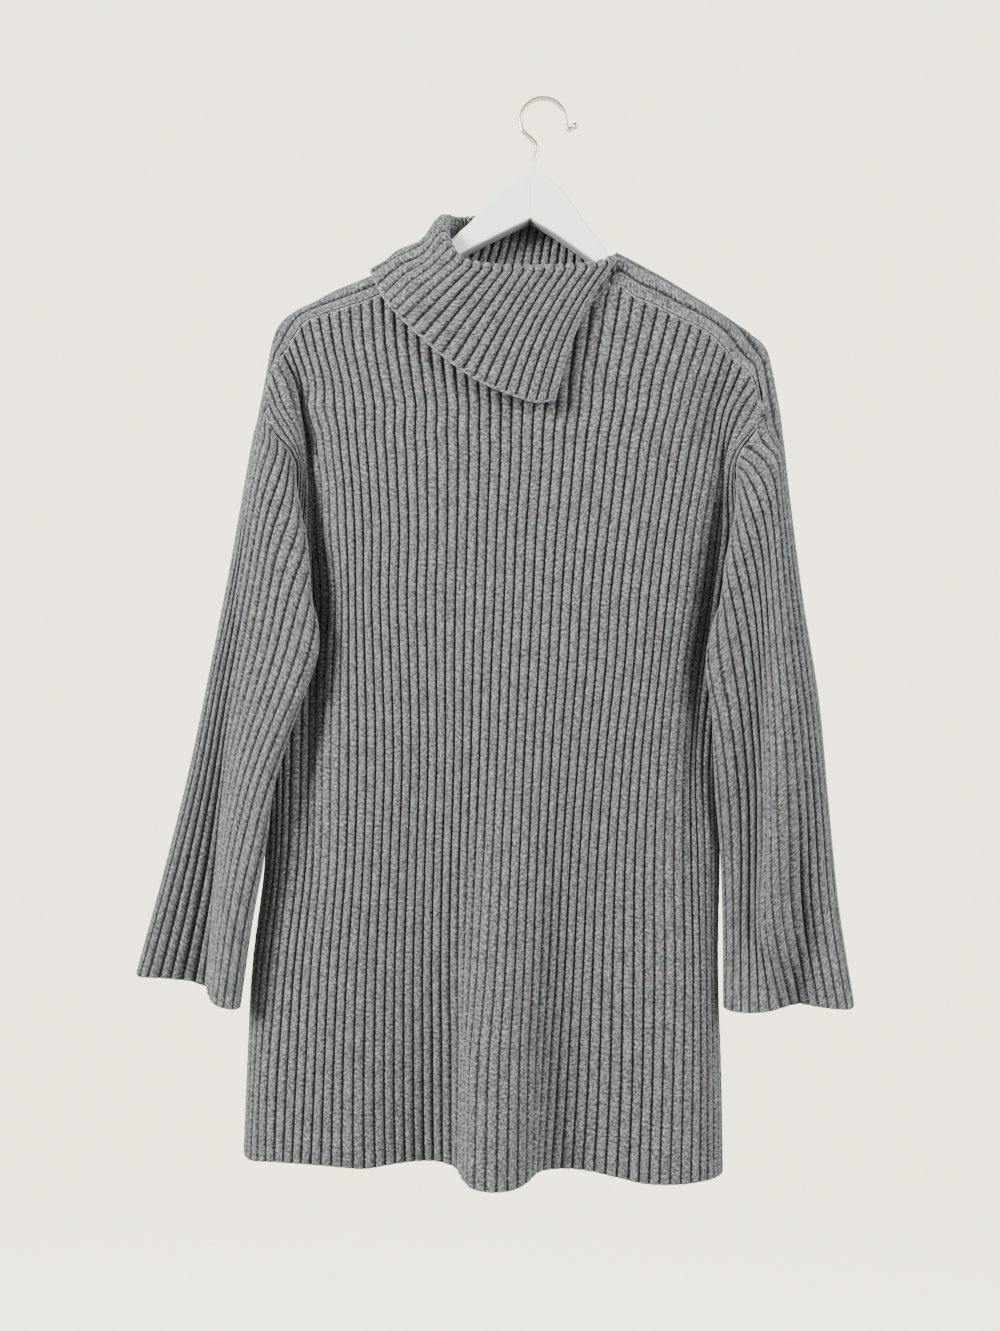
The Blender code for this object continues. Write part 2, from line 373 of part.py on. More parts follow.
class Sleeve:
    """One sleeve with its saddle strap: a tube open at the cuff and a tongue up to the neck."""

    def __init__(self, front, back, shoulder, rings, side):
        self.front, self.back, self.shoulder = front, back, np.array(shoulder, float)
        self.rings, self.side, self.sign = rings, side, 1 if side else -1

    def strap(self, station, rib):
        """Point of the strap at a station along the shoulder, rib -2.5 to 2.5 over its ridge."""
        x, z = spline(np.arange(len(self.shoulder)), self.shoulder[:, 1:3], station)
        front_rib, *seam = (np.interp(station, np.arange(len(self.shoulder)), self.shoulder[:, k]) for k in (0, 3, 4, 5))
        steep = np.interp(z, [-250, -200], [1, 0])
        ridge = np.array([x - SADDLE_INSET * self.sign * steep, 0, z - SADDLE_INSET * (1 - steep)])
        if rib >= 0:
            seam = self.front.edge(front_rib)
        elif station > CORNER:
            seam = self.back.at(self.side, self.front.up_side(front_rib))
        seam = np.array(seam)
        towards = (ridge - seam) * (1, 0, 1)
        seam = seam + towards / np.linalg.norm(towards) * SEAM_GAP
        angle = np.linspace(0, math.pi / 2, 60)
        away = np.sin(angle) ** (2 / SADDLE_SQUARE)
        down = 1 - np.cos(angle) ** (2 / SADDLE_SQUARE)
        share = np.stack([down, away, down], axis=-1)
        way = ridge + share * (seam - ridge)
        along = np.concatenate([[0], np.cumsum(np.linalg.norm(np.diff(way, axis=0), axis=1))])
        at = abs(rib) / SADDLE_HALF * along[-1]
        return np.array([np.interp(at, along, way[:, k]) for k in range(3)])

    def armhole(self, rib):
        """The armhole seam: over the shoulder, down the front panel's edge, up the back's."""
        beside = np.array([self.sign, 0, -0.4])
        if rib <= SADDLE_HALF or rib >= RIBS_SLEEVE - SADDLE_HALF:
            return self.strap(len(self.shoulder) - 1, rib if rib <= SADDLE_HALF else rib - RIBS_SLEEVE)
        if rib <= UNDERARM_RIB:
            v = from_table(ARMHOLE_SEWN, rib)
            lap, aside = (np.interp(rib, *np.array(ARMHOLE_LAP)[:, (0, k)].T) for k in (1, 2))
            return self.front.at(self.side, v) + self.front.normal(self.side, v) * lap + beside * aside
        up = (rib - UNDERARM_RIB) / (RIBS_SLEEVE - SADDLE_HALF - UNDERARM_RIB)
        aside = np.interp(up, [0, 0.15, 0.3], [ARMHOLE_LAP[-1][2], 3.4, SEAM_GAP])
        return self.back.at(self.side, UNDERARM_SHARE + (ARMHOLE_SEWN[0][1] - UNDERARM_SHARE) * up) + beside * aside

    def station(self, front_rib):
        """Station along the shoulder at which the strap meets a rib of the front."""
        order = slice(None, None, int(self.sign))
        return np.interp(front_rib, self.shoulder[order, 0], np.arange(len(self.shoulder))[order])

    def ring(self, k, rib):
        outer, inner, around = self.rings[k]
        q, x, y = np.array(around, float).T
        x, y = (round_spline(q, a, rib, RIBS_SLEEVE) for a in (x, y))
        half = rib / 34 if rib < 17 else (RIBS_SLEEVE - rib) / 26
        return np.array([x, y, outer + (inner - outer) * math.sin(half * math.pi) ** 2])

    def column(self, rib, strap_rows, rows):
        """Points down one rib: strap_rows are stations, rows run from 0 at the armhole to 1 at the cuff."""
        knots = np.linspace(0, 1, len(self.rings) + 1)
        points = [self.armhole(rib)] + [self.ring(k, rib) for k in range(len(self.rings))]
        if SADDLE_HALF < rib < RIBS_SLEEVE - SADDLE_HALF:
            blank = np.full((len(strap_rows), 3), np.nan)
            return np.concatenate([blank, spline(knots, points, rows)])
        over = rib if rib <= SADDLE_HALF else rib - RIBS_SLEEVE
        last = len(self.shoulder) - 1
        stations = np.unique(np.append(np.arange(0, last, 0.5), strap_rows))
        points = [self.strap(s, over) for s in stations] + points
        knots = np.concatenate([(stations - last) * 0.1, knots])
        return spline(knots, points, np.concatenate([(strap_rows - last) * 0.1, rows]))

    def points(self, ribs, strap_rows, rows):
        return np.stack([self.column(rib, strap_rows, rows) for rib in ribs], axis=1)


class Collar:
    """The collar: a band that stands on the neckline, folds over and lies on the shoulders."""

    FRONT_PART, STRAP_PART = 20.0, 27.0     # ribs sewn to the front, then to the end of the strap

    def __init__(self, front, back, sleeve):
        self.front, self.back, self.sleeve = front, back, sleeve

    def rib_over_front(self, front_rib):
        start, end = SHOULDER_LEFT[0][0] - COLLAR_INSET, SHOULDER_RIGHT[0][0]
        return (start - np.asarray(front_rib, float)) / (start - end) * self.FRONT_PART

    def rib_over_back(self, x):
        start, end = SHOULDER_RIGHT[0][3], SHOULDER_LEFT[0][3] - COLLAR_INSET * RIB_PITCH
        return self.STRAP_PART + (np.asarray(x, float) - start) / (end - start) * (RIBS_COLLAR - self.STRAP_PART)

    def neck(self, c):
        """Where rib c is sewn on: front neckline, end of the strap, back neckline."""
        if c <= self.FRONT_PART:
            start, end = SHOULDER_LEFT[0][0] - COLLAR_INSET, SHOULDER_RIGHT[0][0]
            return self.front.edge(start + (end - start) * c / self.FRONT_PART) + np.array([0, 0, SEAM_GAP])
        if c <= self.STRAP_PART:
            over = np.interp(c, [self.FRONT_PART, self.STRAP_PART], [SADDLE_HALF, -SADDLE_HALF])
            return self.sleeve.strap(0, over) + np.array([0.5, 0, 0.7]) * SEAM_GAP
        start, end = SHOULDER_RIGHT[0][3], SHOULDER_LEFT[0][3] - COLLAR_INSET * RIB_PITCH
        x = np.interp(c, [self.STRAP_PART, RIBS_COLLAR], [start, end])
        return self.back.at(self.back.share(x), 1.0) + np.array([0, 0, SEAM_GAP])

    def section(self, c, rows):
        """Points up rib c: rows 0-1 stand from the neckline, 1-2 go round the fold, 2-3 hang."""
        rib, *numbers = np.array(COLLAR, float).T
        fold_x, fold_y, fold_z, edge_x, edge_y, edge_z = (spline(rib, n, c) for n in numbers)
        ahead, behind = (np.array([spline(rib, numbers[k], c + d) for k in (0, 1)]) for d in (1.2, -1.2))
        tangent = (ahead - behind) / np.linalg.norm(ahead - behind)
        along, out = np.array([*tangent, 0]), np.array([-tangent[1], tangent[0], 0])
        centre = np.array([fold_x, fold_y, fold_z - COLLAR_ROLL])

        def flat(p):
            return (p - centre) @ along, (p - centre) @ out, (p - centre)[2]

        neck, edge = flat(self.neck(c)), flat(np.array([edge_x, edge_y, edge_z]))
        start = math.atan2(neck[2], neck[1]) - math.acos(min(COLLAR_ROLL / math.hypot(*neck[1:]), 1)) + 2 * math.pi
        end = math.atan2(edge[2], edge[1]) + math.acos(min(COLLAR_ROLL / math.hypot(*edge[1:]), 1))
        start -= 2 * math.pi * (start > 1.6 * math.pi)
        points = []
        for t in rows:
            angle = start + (end - start) * min(max(t - 1, 0), 1)
            on_fold = np.array([0, COLLAR_ROLL * math.cos(angle), COLLAR_ROLL * math.sin(angle)])
            if t < 1:
                p = np.array(neck) * (1 - t) + on_fold * t
            else:
                p = on_fold + (np.array(edge) - on_fold) * max(t - 2, 0)
                p[1] += COLLAR_BULGE * math.sin(max(t - 2, 0) * math.pi)
            points.append(centre + along * p[0] + out * p[1] + np.array([0, 0, p[2]]))
        return np.array(points)

    def points(self, ribs, rows):
        return np.stack([self.section(c, rows) for c in ribs], axis=1)


def unit(vectors):
    return vectors / np.maximum(np.linalg.norm(vectors, axis=-1, keepdims=True), 1e-9)


class Cloth:
    """A piece of cloth: a grid of middle points, the cells of it that are used, its outward side."""

    def __init__(self, name, grid, ring, outward, used=None, turned=1):
        self.name, self.grid, self.ring, self.turned = name, grid, ring, turned
        rows, cols = grid.shape[:2]
        self.used = np.ones((rows - 1, cols if ring else cols - 1), bool) if used is None else used
        near, far = (grid, np.roll(grid, -1, axis=1)) if ring else (grid[:, :-1], grid[:, 1:])
        cell = np.nan_to_num(np.cross(far[1:] - near[:-1], far[:-1] - near[1:])) * outward
        cell[~self.used] = 0
        cell = np.concatenate([unit(cell), self.used[..., None]], axis=-1)
        total = np.zeros((rows, cols + 1, 4))
        for dr in (0, 1):
            for dc in (0, 1):
                total[dr:dr + rows - 1, dc:dc + cell.shape[1]] += cell
        total[:, 0] += total[:, -1] * ring
        self.normal = unit(total[:, :cols, :3])
        count = total[:, :cols, 3]
        self.rim = (count > 0) & (count < 4)

    def lift(self, rows, supports, clear):
        """Move the points of the given rows outward until they lie on the supports."""
        points = np.concatenate([s.grid[~np.isnan(s.grid[..., 0])] for s in supports])
        out = np.concatenate([s.normal[~np.isnan(s.grid[..., 0])] for s in supports])
        for r in rows:
            for c in range(self.grid.shape[1]):
                for _ in range(3):
                    offset = self.grid[r, c] - points
                    distance = (offset ** 2).sum(axis=1)
                    k = int(np.argmin(distance))
                    height = offset[k] @ out[k]
                    beside = distance[k] - height ** 2
                    if -20 < height < clear and beside < BESIDE ** 2:
                        self.grid[r, c] += out[k] * (clear - height)

    def build(self, material):
        """A closed sheet of even wall."""
        cols, number, verts, faces = self.grid.shape[1], {}, [], []

        def vert(point, side):
            key = (point[0], point[1] % cols, side)
            if key not in number:
                number[key] = len(verts)
                verts.append((self.grid[key[:2]] + self.normal[key[:2]] * WALL / 2 * side) * MM)
            return number[key]

        width = self.used.shape[1]
        cells = {(int(r), int(c)) for r, c in np.argwhere(self.used)}
        for r, c in sorted(cells):
            corners = [(r, c), (r, c + 1), (r + 1, c + 1), (r + 1, c)]
            faces.append([vert(p, 1) for p in corners])
            faces.append([vert(p, -1) for p in reversed(corners)])
            beside = [(r - 1, c), (r, c + 1), (r + 1, c), (r, c - 1)]
            for k, (row, col) in enumerate(beside):
                if (row, col % width if self.ring else col) not in cells:
                    a, b = corners[k], corners[(k + 1) % 4]
                    faces.append([vert(b, 1), vert(a, 1), vert(a, -1), vert(b, -1)])
        return solid(self.name, verts, faces, material)


def sew(pieces):
    """Edges that are sewn together share one direction of wall, so they meet without a step."""
    rims = [(p, p.grid[p.rim], p.normal[p.rim].copy()) for p in pieces]
    for piece, points, normals in rims:
        total = normals.copy()
        for other, others, directions in rims:
            if other is piece:
                continue
            for i, point in enumerate(points):
                distance = np.linalg.norm(others - point, axis=1)
                k = int(np.argmin(distance))
                if distance[k] < SEAM_GAP * 4:
                    total[i] += directions[k] * piece.turned * other.turned
        piece.normal[piece.rim] = unit(total)


def solid(name, verts, faces, material):
    mesh = bpy.data.meshes.new(name)
    mesh.from_pydata([tuple(v) for v in verts], [], faces)
    bm = bmesh.new()
    bm.from_mesh(mesh)
    bmesh.ops.recalc_face_normals(bm, faces=bm.faces)
    bmesh.ops.triangulate(bm, faces=bm.faces)
    bm.to_mesh(mesh)
    bm.free()
    mesh.materials.append(material)
    obj = bpy.data.objects.new(name, mesh)
    bpy.context.scene.collection.objects.link(obj)
    return obj


def material(name, colour, roughness, metallic=0.0):
    made = bpy.data.materials.new(name)
    made.use_nodes = True
    shader = made.node_tree.nodes["Principled BSDF"]
    shader.inputs["Base Color"].default_value = (*colour, 1)
    shader.inputs["Roughness"].default_value = roughness
    shader.inputs["Metallic"].default_value = metallic
    return made


def tube(name, rings, material, sides=14):
    """A round bar through (point, direction, radius) rings in the hanger's plane."""
    around = [(math.cos(a), math.sin(a)) for a in np.arange(sides) / sides * 2 * math.pi]
    verts = [((p[0] - t[1] * c * r) * MM, s * r * MM, (p[1] + t[0] * c * r) * MM)
             for p, t, r in rings for c, s in around]
    faces = [[k * sides + i, k * sides + (i + 1) % sides, (k + 1) * sides + (i + 1) % sides, (k + 1) * sides + i]
             for k in range(len(rings) - 1) for i in range(sides)]
    faces += [list(range(sides)), list(range((len(rings) - 1) * sides, len(rings) * sides))]
    return solid(name, verts, faces, material)


def hanger_wood(paint):
    """A flat board with rounded edges, bored from above for the hook."""
    outline = np.array(HANGER, float)
    for shoulder in (SHOULDER_RIGHT, SHOULDER_LEFT):
        ridge = np.array(sorted(s[1:3] for s in shoulder[:CORNER + 1]))
        below = np.interp(outline[:, 0], *ridge.T, left=np.nan, right=np.nan) - outline[:, 1]
        upper = below < HANGER_THICK
        outline[upper, 1] += below[upper] - SADDLE_INSET - WALL / 2 - HANGER_CLEAR
    tangent = unit(np.roll(outline, -1, axis=0) - np.roll(outline, 1, axis=0))
    inward = np.stack([-tangent[:, 1], tangent[:, 0]], axis=1)
    half, inset = HANGER_THICK / 2, HANGER_EDGE * (1 - math.sqrt(0.5))
    layers = [(-half, HANGER_EDGE), (-half + inset, inset), (-half + HANGER_EDGE, 0),
              (half - HANGER_EDGE, 0), (half - inset, inset), (half, HANGER_EDGE)]
    verts, count = [], len(outline)
    for y, deep in layers:
        verts += [(x * MM, y * MM, z * MM) for x, z in outline + inward * deep]
    faces = [[k * count + i, k * count + (i + 1) % count, (k + 1) * count + (i + 1) % count, (k + 1) * count + i]
             for k in range(len(layers) - 1) for i in range(count)]
    faces += [list(range(count)), list(range((len(layers) - 1) * count, len(layers) * count))]
    wood = solid("hanger_wood", verts, faces, paint)
    crown = outline[0]
    down = np.array([0.0, -1.0])
    bore = tube("bore", [(crown - down * 10, down, HOOK_BORE), (crown + down * HOOK_BORE_DEPTH, down, HOOK_BORE)], paint)
    cut = wood.modifiers.new("bore", "BOOLEAN")
    cut.object = bore
    cut.operation = "DIFFERENCE"
    cut.solver = "EXACT"
    bpy.context.view_layer.objects.active = wood
    bpy.ops.object.modifier_apply(modifier=cut.name)
    bpy.data.objects.remove(bore)
    return wood


def hanger_hook(steel):
    """The hook: bent wire standing in the bore, with a ball at its free end."""
    crown = HANGER[0]
    centre = -HOOK_RADIUS + HOOK_WIRE / 2
    stem = [(crown[0], crown[1] - HOOK_BORE_DEPTH + 1), (crown[0], crown[1]), (-8, -56), (-6.2, -47), (-6.2, -42), (-10, -36.5)]
    turn = np.radians(np.linspace(212, -14, 30))
    bow = [(HOOK_RADIUS * math.cos(a), centre + HOOK_RADIUS * math.sin(a)) for a in turn]
    path = np.array(stem + bow[:-1] + [(23.5, -27), (27.5, -25)])
    tangent = unit(np.gradient(path, axis=0))
    rings = [(p, t, HOOK_WIRE / 2) for p, t in zip(path, tangent)]
    ball = 3.0
    for a in np.radians([-48, -20, 10, 40, 70]):
        rings.append((path[-1] + tangent[-1] * ball * (0.8 + math.sin(a)), tangent[-1], ball * math.cos(a)))
    return tube("hanger_hook", rings, steel, 12)


def main():
    for obj in list(bpy.data.objects):
        bpy.data.objects.remove(obj)
    front = Front()
    back = Back(front)
    right = Sleeve(front, back, SHOULDER_RIGHT, SLEEVE_RIGHT, 0)
    left = Sleeve(front, back, SHOULDER_LEFT, SLEEVE_LEFT, 1)
    collar = Collar(front, back, right)

    # ribs of the front's top edge at which columns stand: the shoulders, with the neck between
    shoulders = [s[0] for s in SHOULDER_RIGHT[CORNER::-1]], [s[0] for s in SHOULDER_LEFT[:CORNER + 1]]
    neck = np.array([24.2, 25.2, 26.2, 27.2, 28.2, 29.2, 30.3, 31.5, 32.6, 33.6, 34.6, 35.6])
    tops = np.concatenate([shoulders[0], neck, shoulders[1]])
    sleeve_front = np.array([2.5, 3.75, 5.25, 6.75, 8.25, 9.5, 10.5, 11.5, 12.5, 13.25, 14, 15, 16.25, 17.5])
    sleeve_back = np.linspace(UNDERARM_RIB, RIBS_SLEEVE - SADDLE_HALF, 7)
    over = np.linspace(-SADDLE_HALF, SADDLE_HALF, 7)
    body_rows = np.linspace(0, UNDERARM_SHARE, 8, endpoint=False)
    shoulder_rows = np.array([0.926, 0.947, 0.979, 1])

    rows = np.concatenate([body_rows, from_table(ARMHOLE_SEWN, sleeve_front[::-1]), shoulder_rows])
    front_cloth = Cloth("front", front.at(front.share(tops)[None, :], rows[:, None]), False, -1)
    fine = np.linspace(0, 1, 181)
    fine_front = Cloth("support", front.at(fine[None, :], fine[:, None]), False, -1)

    seams = [s[3] for s in SHOULDER_RIGHT[CORNER::-1]], [s[3] for s in SHOULDER_LEFT[:CORNER + 1]]
    back_neck = np.linspace(seams[0][-1], seams[1][0], 9)
    across = np.concatenate([seams[0][:-1], back_neck, seams[1][1:]])
    rows = np.concatenate([body_rows, np.linspace(UNDERARM_SHARE, ARMHOLE_SEWN[0][1], 7), shoulder_rows])
    back_cloth = Cloth("back", back.at(back.share(across)[None, :], rows[:, None]), False, 1)
    fine_back = Cloth("support", back.at(fine[None, :], fine[:, None]), False, 1)

    ribs = np.concatenate([over[3:-1], sleeve_front, sleeve_back[1:-1], over[:3] + RIBS_SLEEVE])
    rows = np.concatenate([np.linspace(0, 0.25, 6), np.linspace(0.25, 1, 12)[1:]])
    sleeves = []
    for name, sleeve in (("sleeve_right", right), ("sleeve_left", left)):
        on_side = [front.ribs(sleeve.side, v) for v in shoulder_rows[-2::-1]]
        strap_rows = np.concatenate([np.arange(CORNER + 1), [sleeve.station(rib) for rib in on_side]])
        grid = sleeve.points(ribs, strap_rows, rows)
        used = np.ones((len(grid) - 1, len(ribs)), bool)
        used[:len(strap_rows)] = (ribs < SADDLE_HALF) | (ribs >= RIBS_SLEEVE - SADDLE_HALF)
        cloth = Cloth(name, grid, True, -sleeve.sign, used)
        cloth.lift(range(len(strap_rows) + 1, len(strap_rows) + 10), [fine_front], LAID_CLEAR)
        sleeves.append(Cloth(name, grid, True, -sleeve.sign, used))

    ribs = np.concatenate([collar.rib_over_front(np.concatenate([[shoulders[1][0] - COLLAR_INSET], neck[::-1]])),
                           np.linspace(Collar.FRONT_PART, Collar.STRAP_PART, 7)[:-1], np.minimum(collar.rib_over_back(back_neck), RIBS_COLLAR)])
    rows = np.concatenate([np.linspace(0, 1, 4), np.linspace(1, 2, 6)[1:], np.linspace(2, 3, 6)[1:]])
    grid = collar.points(ribs, rows)
    collar_cloth = Cloth("collar", grid, False, -1)
    straps = [Cloth("support", s.points(np.linspace(-2.5, 2.5, 15) % RIBS_SLEEVE, np.linspace(0, 7, 71), np.zeros(0)),
                    False, -s.sign) for s in (right, left)]
    collar_cloth.lift(range(8, len(rows)), [fine_front, fine_back] + straps, COLLAR_CLEAR)
    collar_cloth = Cloth("collar", collar_cloth.grid, False, -1, turned=-1)

    pieces = [front_cloth, back_cloth, *sleeves, collar_cloth]
    sew(pieces)
    for piece in pieces:
        piece.build(material("knit_" + piece.name, KNIT_GREY, 0.9))
    hanger_wood(material("white_paint", (0.8, 0.8, 0.77), 0.35))
    hanger_hook(material("hook_steel", (0.75, 0.75, 0.75), 0.15, 1.0))


main()
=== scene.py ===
"""Looks of a turtleneck tunic sweater on a clothes hanger: rib knit, painted wood, chrome wire.

The cloth is laid on the surfaces of the CAD solids, in millimetres, and departs from them at the
hem, the hollows beside the arms, the right elbow, the shoulders and the collar's edges. It gets the
relief of its ribs, its seams and its edges here.
Frame: +Z up, front faces -Y, +X the wearer's left.
"""
import math

import bpy
import numpy as np
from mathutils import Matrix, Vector
from mathutils.kdtree import KDTree


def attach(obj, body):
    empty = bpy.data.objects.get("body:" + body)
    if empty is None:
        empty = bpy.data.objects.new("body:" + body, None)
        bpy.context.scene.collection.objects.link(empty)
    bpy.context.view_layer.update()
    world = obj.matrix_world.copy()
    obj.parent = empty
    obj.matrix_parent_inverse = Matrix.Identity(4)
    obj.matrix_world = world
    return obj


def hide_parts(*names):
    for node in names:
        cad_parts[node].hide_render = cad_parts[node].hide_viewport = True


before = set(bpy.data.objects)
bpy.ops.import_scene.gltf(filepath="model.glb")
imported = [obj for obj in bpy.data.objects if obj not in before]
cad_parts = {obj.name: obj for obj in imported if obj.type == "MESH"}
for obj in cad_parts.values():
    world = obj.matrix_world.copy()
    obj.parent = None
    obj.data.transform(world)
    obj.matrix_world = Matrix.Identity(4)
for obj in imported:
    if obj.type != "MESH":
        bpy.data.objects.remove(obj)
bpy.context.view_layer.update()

MM = 0.001
WALL = 3.0              # thickness of the CAD shells
SEAM_GAP = 0.8          # between two edges that are sewn together
LAID_CLEAR = 4.4        # middle of a layer above the middle of the layer it lies on
COLLAR_CLEAR = 5.6      # the same, for the folded collar on the shoulders
BESIDE = 5.0            # a layer lies on another where it is this near to it sideways
RIBS_FRONT = 57         # ribs across the front, from side seam to side seam
RIBS_SLEEVE = 30        # ribs round a sleeve
RIBS_COLLAR = 46        # ribs round the collar, from one end at the slit to the other
RIB_PITCH = 9.4         # one rib and its groove, lying flat
SADDLE_HALF = 2.5       # ribs of the saddle strap on each side of its ridge
SADDLE_SQUARE = 2.6     # how square the strap bends over the hanger, 2 is an ellipse
SADDLE_INSET = 2.2      # middle of the strap's wall below its ridge
UNDERARM_SHARE = 0.69   # height of the underarm, as a share of the side edge of the body
CORNER = 6              # station of the shoulders where the top edge turns down into the armhole
UNDERARM_RIB = 17.5     # rib of the sleeve that meets the side seam
HEM_AT_RIGHT_SEAM = -975.0   # height of the hem at -X
HEM_AT_LEFT_SEAM = -993.0    # height of the hem at +X: the hanger hangs a little askew
CENTRE_FOLD = (         # rib, share of the fold's depth
    (20, 0), (23, 0.03), (25, 0.16), (27, 0.58), (28.7, 0.92), (30.3, 1), (32.3, 0.97), (34.2, 0.8),
    (36, 0.5), (38, 0.2), (40, 0.04), (42, 0))
CENTRE_FOLD_DEPTH = ((-1000, 45), (-900, 38), (-800, 27), (-700, 16), (-600, 6), (-520, 0), (-150, 0))
BACK_DEPTH = 13.0       # the back hangs this far behind the hanger's middle
BACK_WAVE = 2.5         # height of the slight waves of the back
COLLAR_ROLL = 5.0       # radius of the fold of the collar
COLLAR_INSET = 0.35     # ribs between the ends of the collar and the end of the strap
COLLAR_BULGE = 2.0      # the hanging part stands this far off a straight line
HANGER_THICK = 18.0
HANGER_EDGE = 3.0       # rounding of the hanger's edges
HANGER_CLEAR = 2.3      # the straps' middle lies this far above the hanger's arms, their edges touch them
HOOK_WIRE = 4.0
HOOK_RADIUS = 20.8      # middle of the wire

# ---- offsets, in millimetres --------------------------------------------------------------
# The tables from FRONT_RIBS to HANGER are those of part.py. They were not worked out by hand: a
# scratch program printed them from positions read off the photograph, some of which another
# program had tracked there. FRONT_X and FRONT_Y say where each rib of the front runs, by height.
FRONT_RIBS = (0, 1.5, 3, 5, 6, 7, 9, 13, 29, 45, 49, 51, 53, 55, 57)
FRONT_X = {
    -1000: (-277, -274, -268, -253, -245, -237, -221, -183, -59, 76, 113, 132, 148, 159, 166),
    -900: (-273, -270, -264, -251, -242, -233, -216, -182, -55, 80, 116, 134, 148, 159, 164),
    -800: (-268, -265, -258, -243, -235, -227, -211, -178, -50, 81, 118, 135, 148, 156, 161),
    -700: (-256, -253, -246, -234, -225, -217, -202, -171, -46, 82, 117, 134, 148, 157, 163),
    -600: (-259, -254, -245, -232, -224, -216, -201, -168, -42, 88, 120, 135, 148, 157, 162),
    -520: (-261, -255, -244, -230, -222, -215, -199, -169, -39, 97, 128, 144, 157, 166, 172),
    -460: (-259, -253, -242, -227, -220, -212, -196, -170, -36, 103, 137, 153, 164, 173, 179),
    -400: (-249, -239, -229, -222, -218, -215, -201, -171, -34, 111, 144, 160, 172, 179, 181),
    -350: (-236, -227, -223, -220, -219, -216, -203, -174, -31, 119, 153, 166, 172, 176, 181),
    -330: (-237, -229, -224, -222, -221, -219, -206, -176, -30, 122, 157, 169, 175, 178, 182),
    -310: (-259, -250, -236, -224, -223, -221, -208, -178, -30, 126, 161, 173, 189, 197, 202),
    -290: (-269, -261, -248, -235, -227, -224, -215, -180, -29, 131, 165, 180, 202, 211, 219),
    -270: (-276, -266, -254, -242, -232, -226, -214, -182, -29, 136, 173, 193, 211, 223, 232),
    -230: (-299, -287, -276, -261, -251, -241, -225, -191, -28, 149, 188, 217, 235, 249, 262),
    -190: (-323, -309, -295, -277, -267, -256, -237, -197, -27, 162, 204, 233, 256, 274, 290),
    -150: (-346, -328, -314, -294, -282, -270, -248, -202, -26, 174, 220, 252, 277, 298, 316),
}
DEPTH_RIBS = (0, 1.5, 3, 5, 6, 7, 9, 13, 21, 29, 37, 45, 49, 51, 53, 55, 57)
FRONT_Y = {
    -1000: (4, -6, -14, -21, -24, -26, -28, -30, -14, -26, -18, -28, -33, -30, -22, -10, 4),
    -900: (4, -5, -12, -20, -22, -25, -28, -30, -17, -27, -20, -28, -32, -29, -21, -9, 4),
    -800: (4, -4, -11, -18, -21, -24, -28, -31, -21, -28, -23, -29, -31, -27, -19, -8, 4),
    -700: (4, -3, -9, -15, -18, -21, -26, -31, -26, -30, -27, -30, -29, -24, -16, -7, 4),
    -600: (5, -1, -5, -9, -12, -14, -22, -30, -31, -32, -31, -31, -25, -18, -10, -4, 5),
    -520: (5, 0, -4, -8, -10, -13, -20, -29, -33, -35, -33, -30, -22, -14, -8, -3, 5),
    -460: (5, 0, -4, -8, -10, -13, -20, -28, -33, -35, -33, -29, -22, -14, -8, -3, 5),
    -400: (0, -4, -7, -9, -11, -13, -20, -27, -31, -32, -31, -28, -22, -15, -9, -5, 0),
    -350: (-8, -12, -12, -10, -9, -10, -18, -26, -29, -30, -29, -27, -18, -14, -12, -12, -8),
    -330: (-18, -20, -20, -16, -11, -8, -18, -26, -28, -29, -28, -27, -14, -15, -20, -20, -18),
    -310: (-26, -28, -27, -27, -20, -8, -18, -25, -28, -29, -28, -26, -12, -20, -28, -28, -26),
    -290: (-25, -26, -26, -26, -25, -10, -17, -24, -27, -28, -27, -25, -13, -24, -27, -27, -25),
    -270: (-24, -25, -26, -25, -26, -13, -16, -24, -27, -28, -27, -25, -14, -25, -26, -26, -25),
    -230: (-20, -20, -21, -22, -20, -18, -18, -22, -26, -28, -26, -24, -20, -21, -22, -22, -22),
    -190: (-16, -16, -16, -16, -16, -16, -16, -18, -23, -27, -25, -21, -20, -20, -20, -20, -20),
    -150: (-14, -14, -14, -14, -14, -14, -14, -15, -18, -25, -20, -18, -18, -18, -18, -18, -18),
}
FRONT_TOP = (  # rib, height
    (0, -460), (0.7, -407), (1.2, -366), (1.6, -337), (2, -315), (2.5, -294), (3, -277), (4, -266),
    (5, -256), (6, -246), (7, -238), (8, -230), (9, -222), (10, -213), (11, -207), (12, -204),
    (13, -201), (15, -195), (17, -188), (19, -178), (21, -166), (22.7, -155), (24, -176), (26, -192),
    (28, -202), (31, -206), (33, -203), (35, -195), (36.6, -177), (38.2, -188), (39.9, -196),
    (41.7, -206), (43.7, -215), (45.6, -226), (47.2, -237), (49.4, -252), (50.9, -269), (52, -282),
    (53, -297), (53.4, -316), (53.8, -327), (54.5, -339), (55.3, -361), (56, -398), (57, -460))
SHOULDER_RIGHT = (  # rib of the front, ridge x, ridge z, back seam x, y, z
    (22.7, -99, -130, -98, 14, -145),
    (20, -128.5, -146.5, -125, 14, -160),
    (17.3, -160, -163.5, -154, 14, -175),
    (14.5, -189.5, -175.5, -182, 14, -188),
    (12.2, -210, -186.5, -202, 14, -198),
    (10.4, -228.5, -195.5, -218, 14, -206),
    (9, -241.5, -207, -230, 14, -216),
    (7, -249, -223, -239, 14, -232),
    (4.4, -254, -252, -248, 14, -254),
    (2.5, -259.5, -280, -254, 13, -277),
)
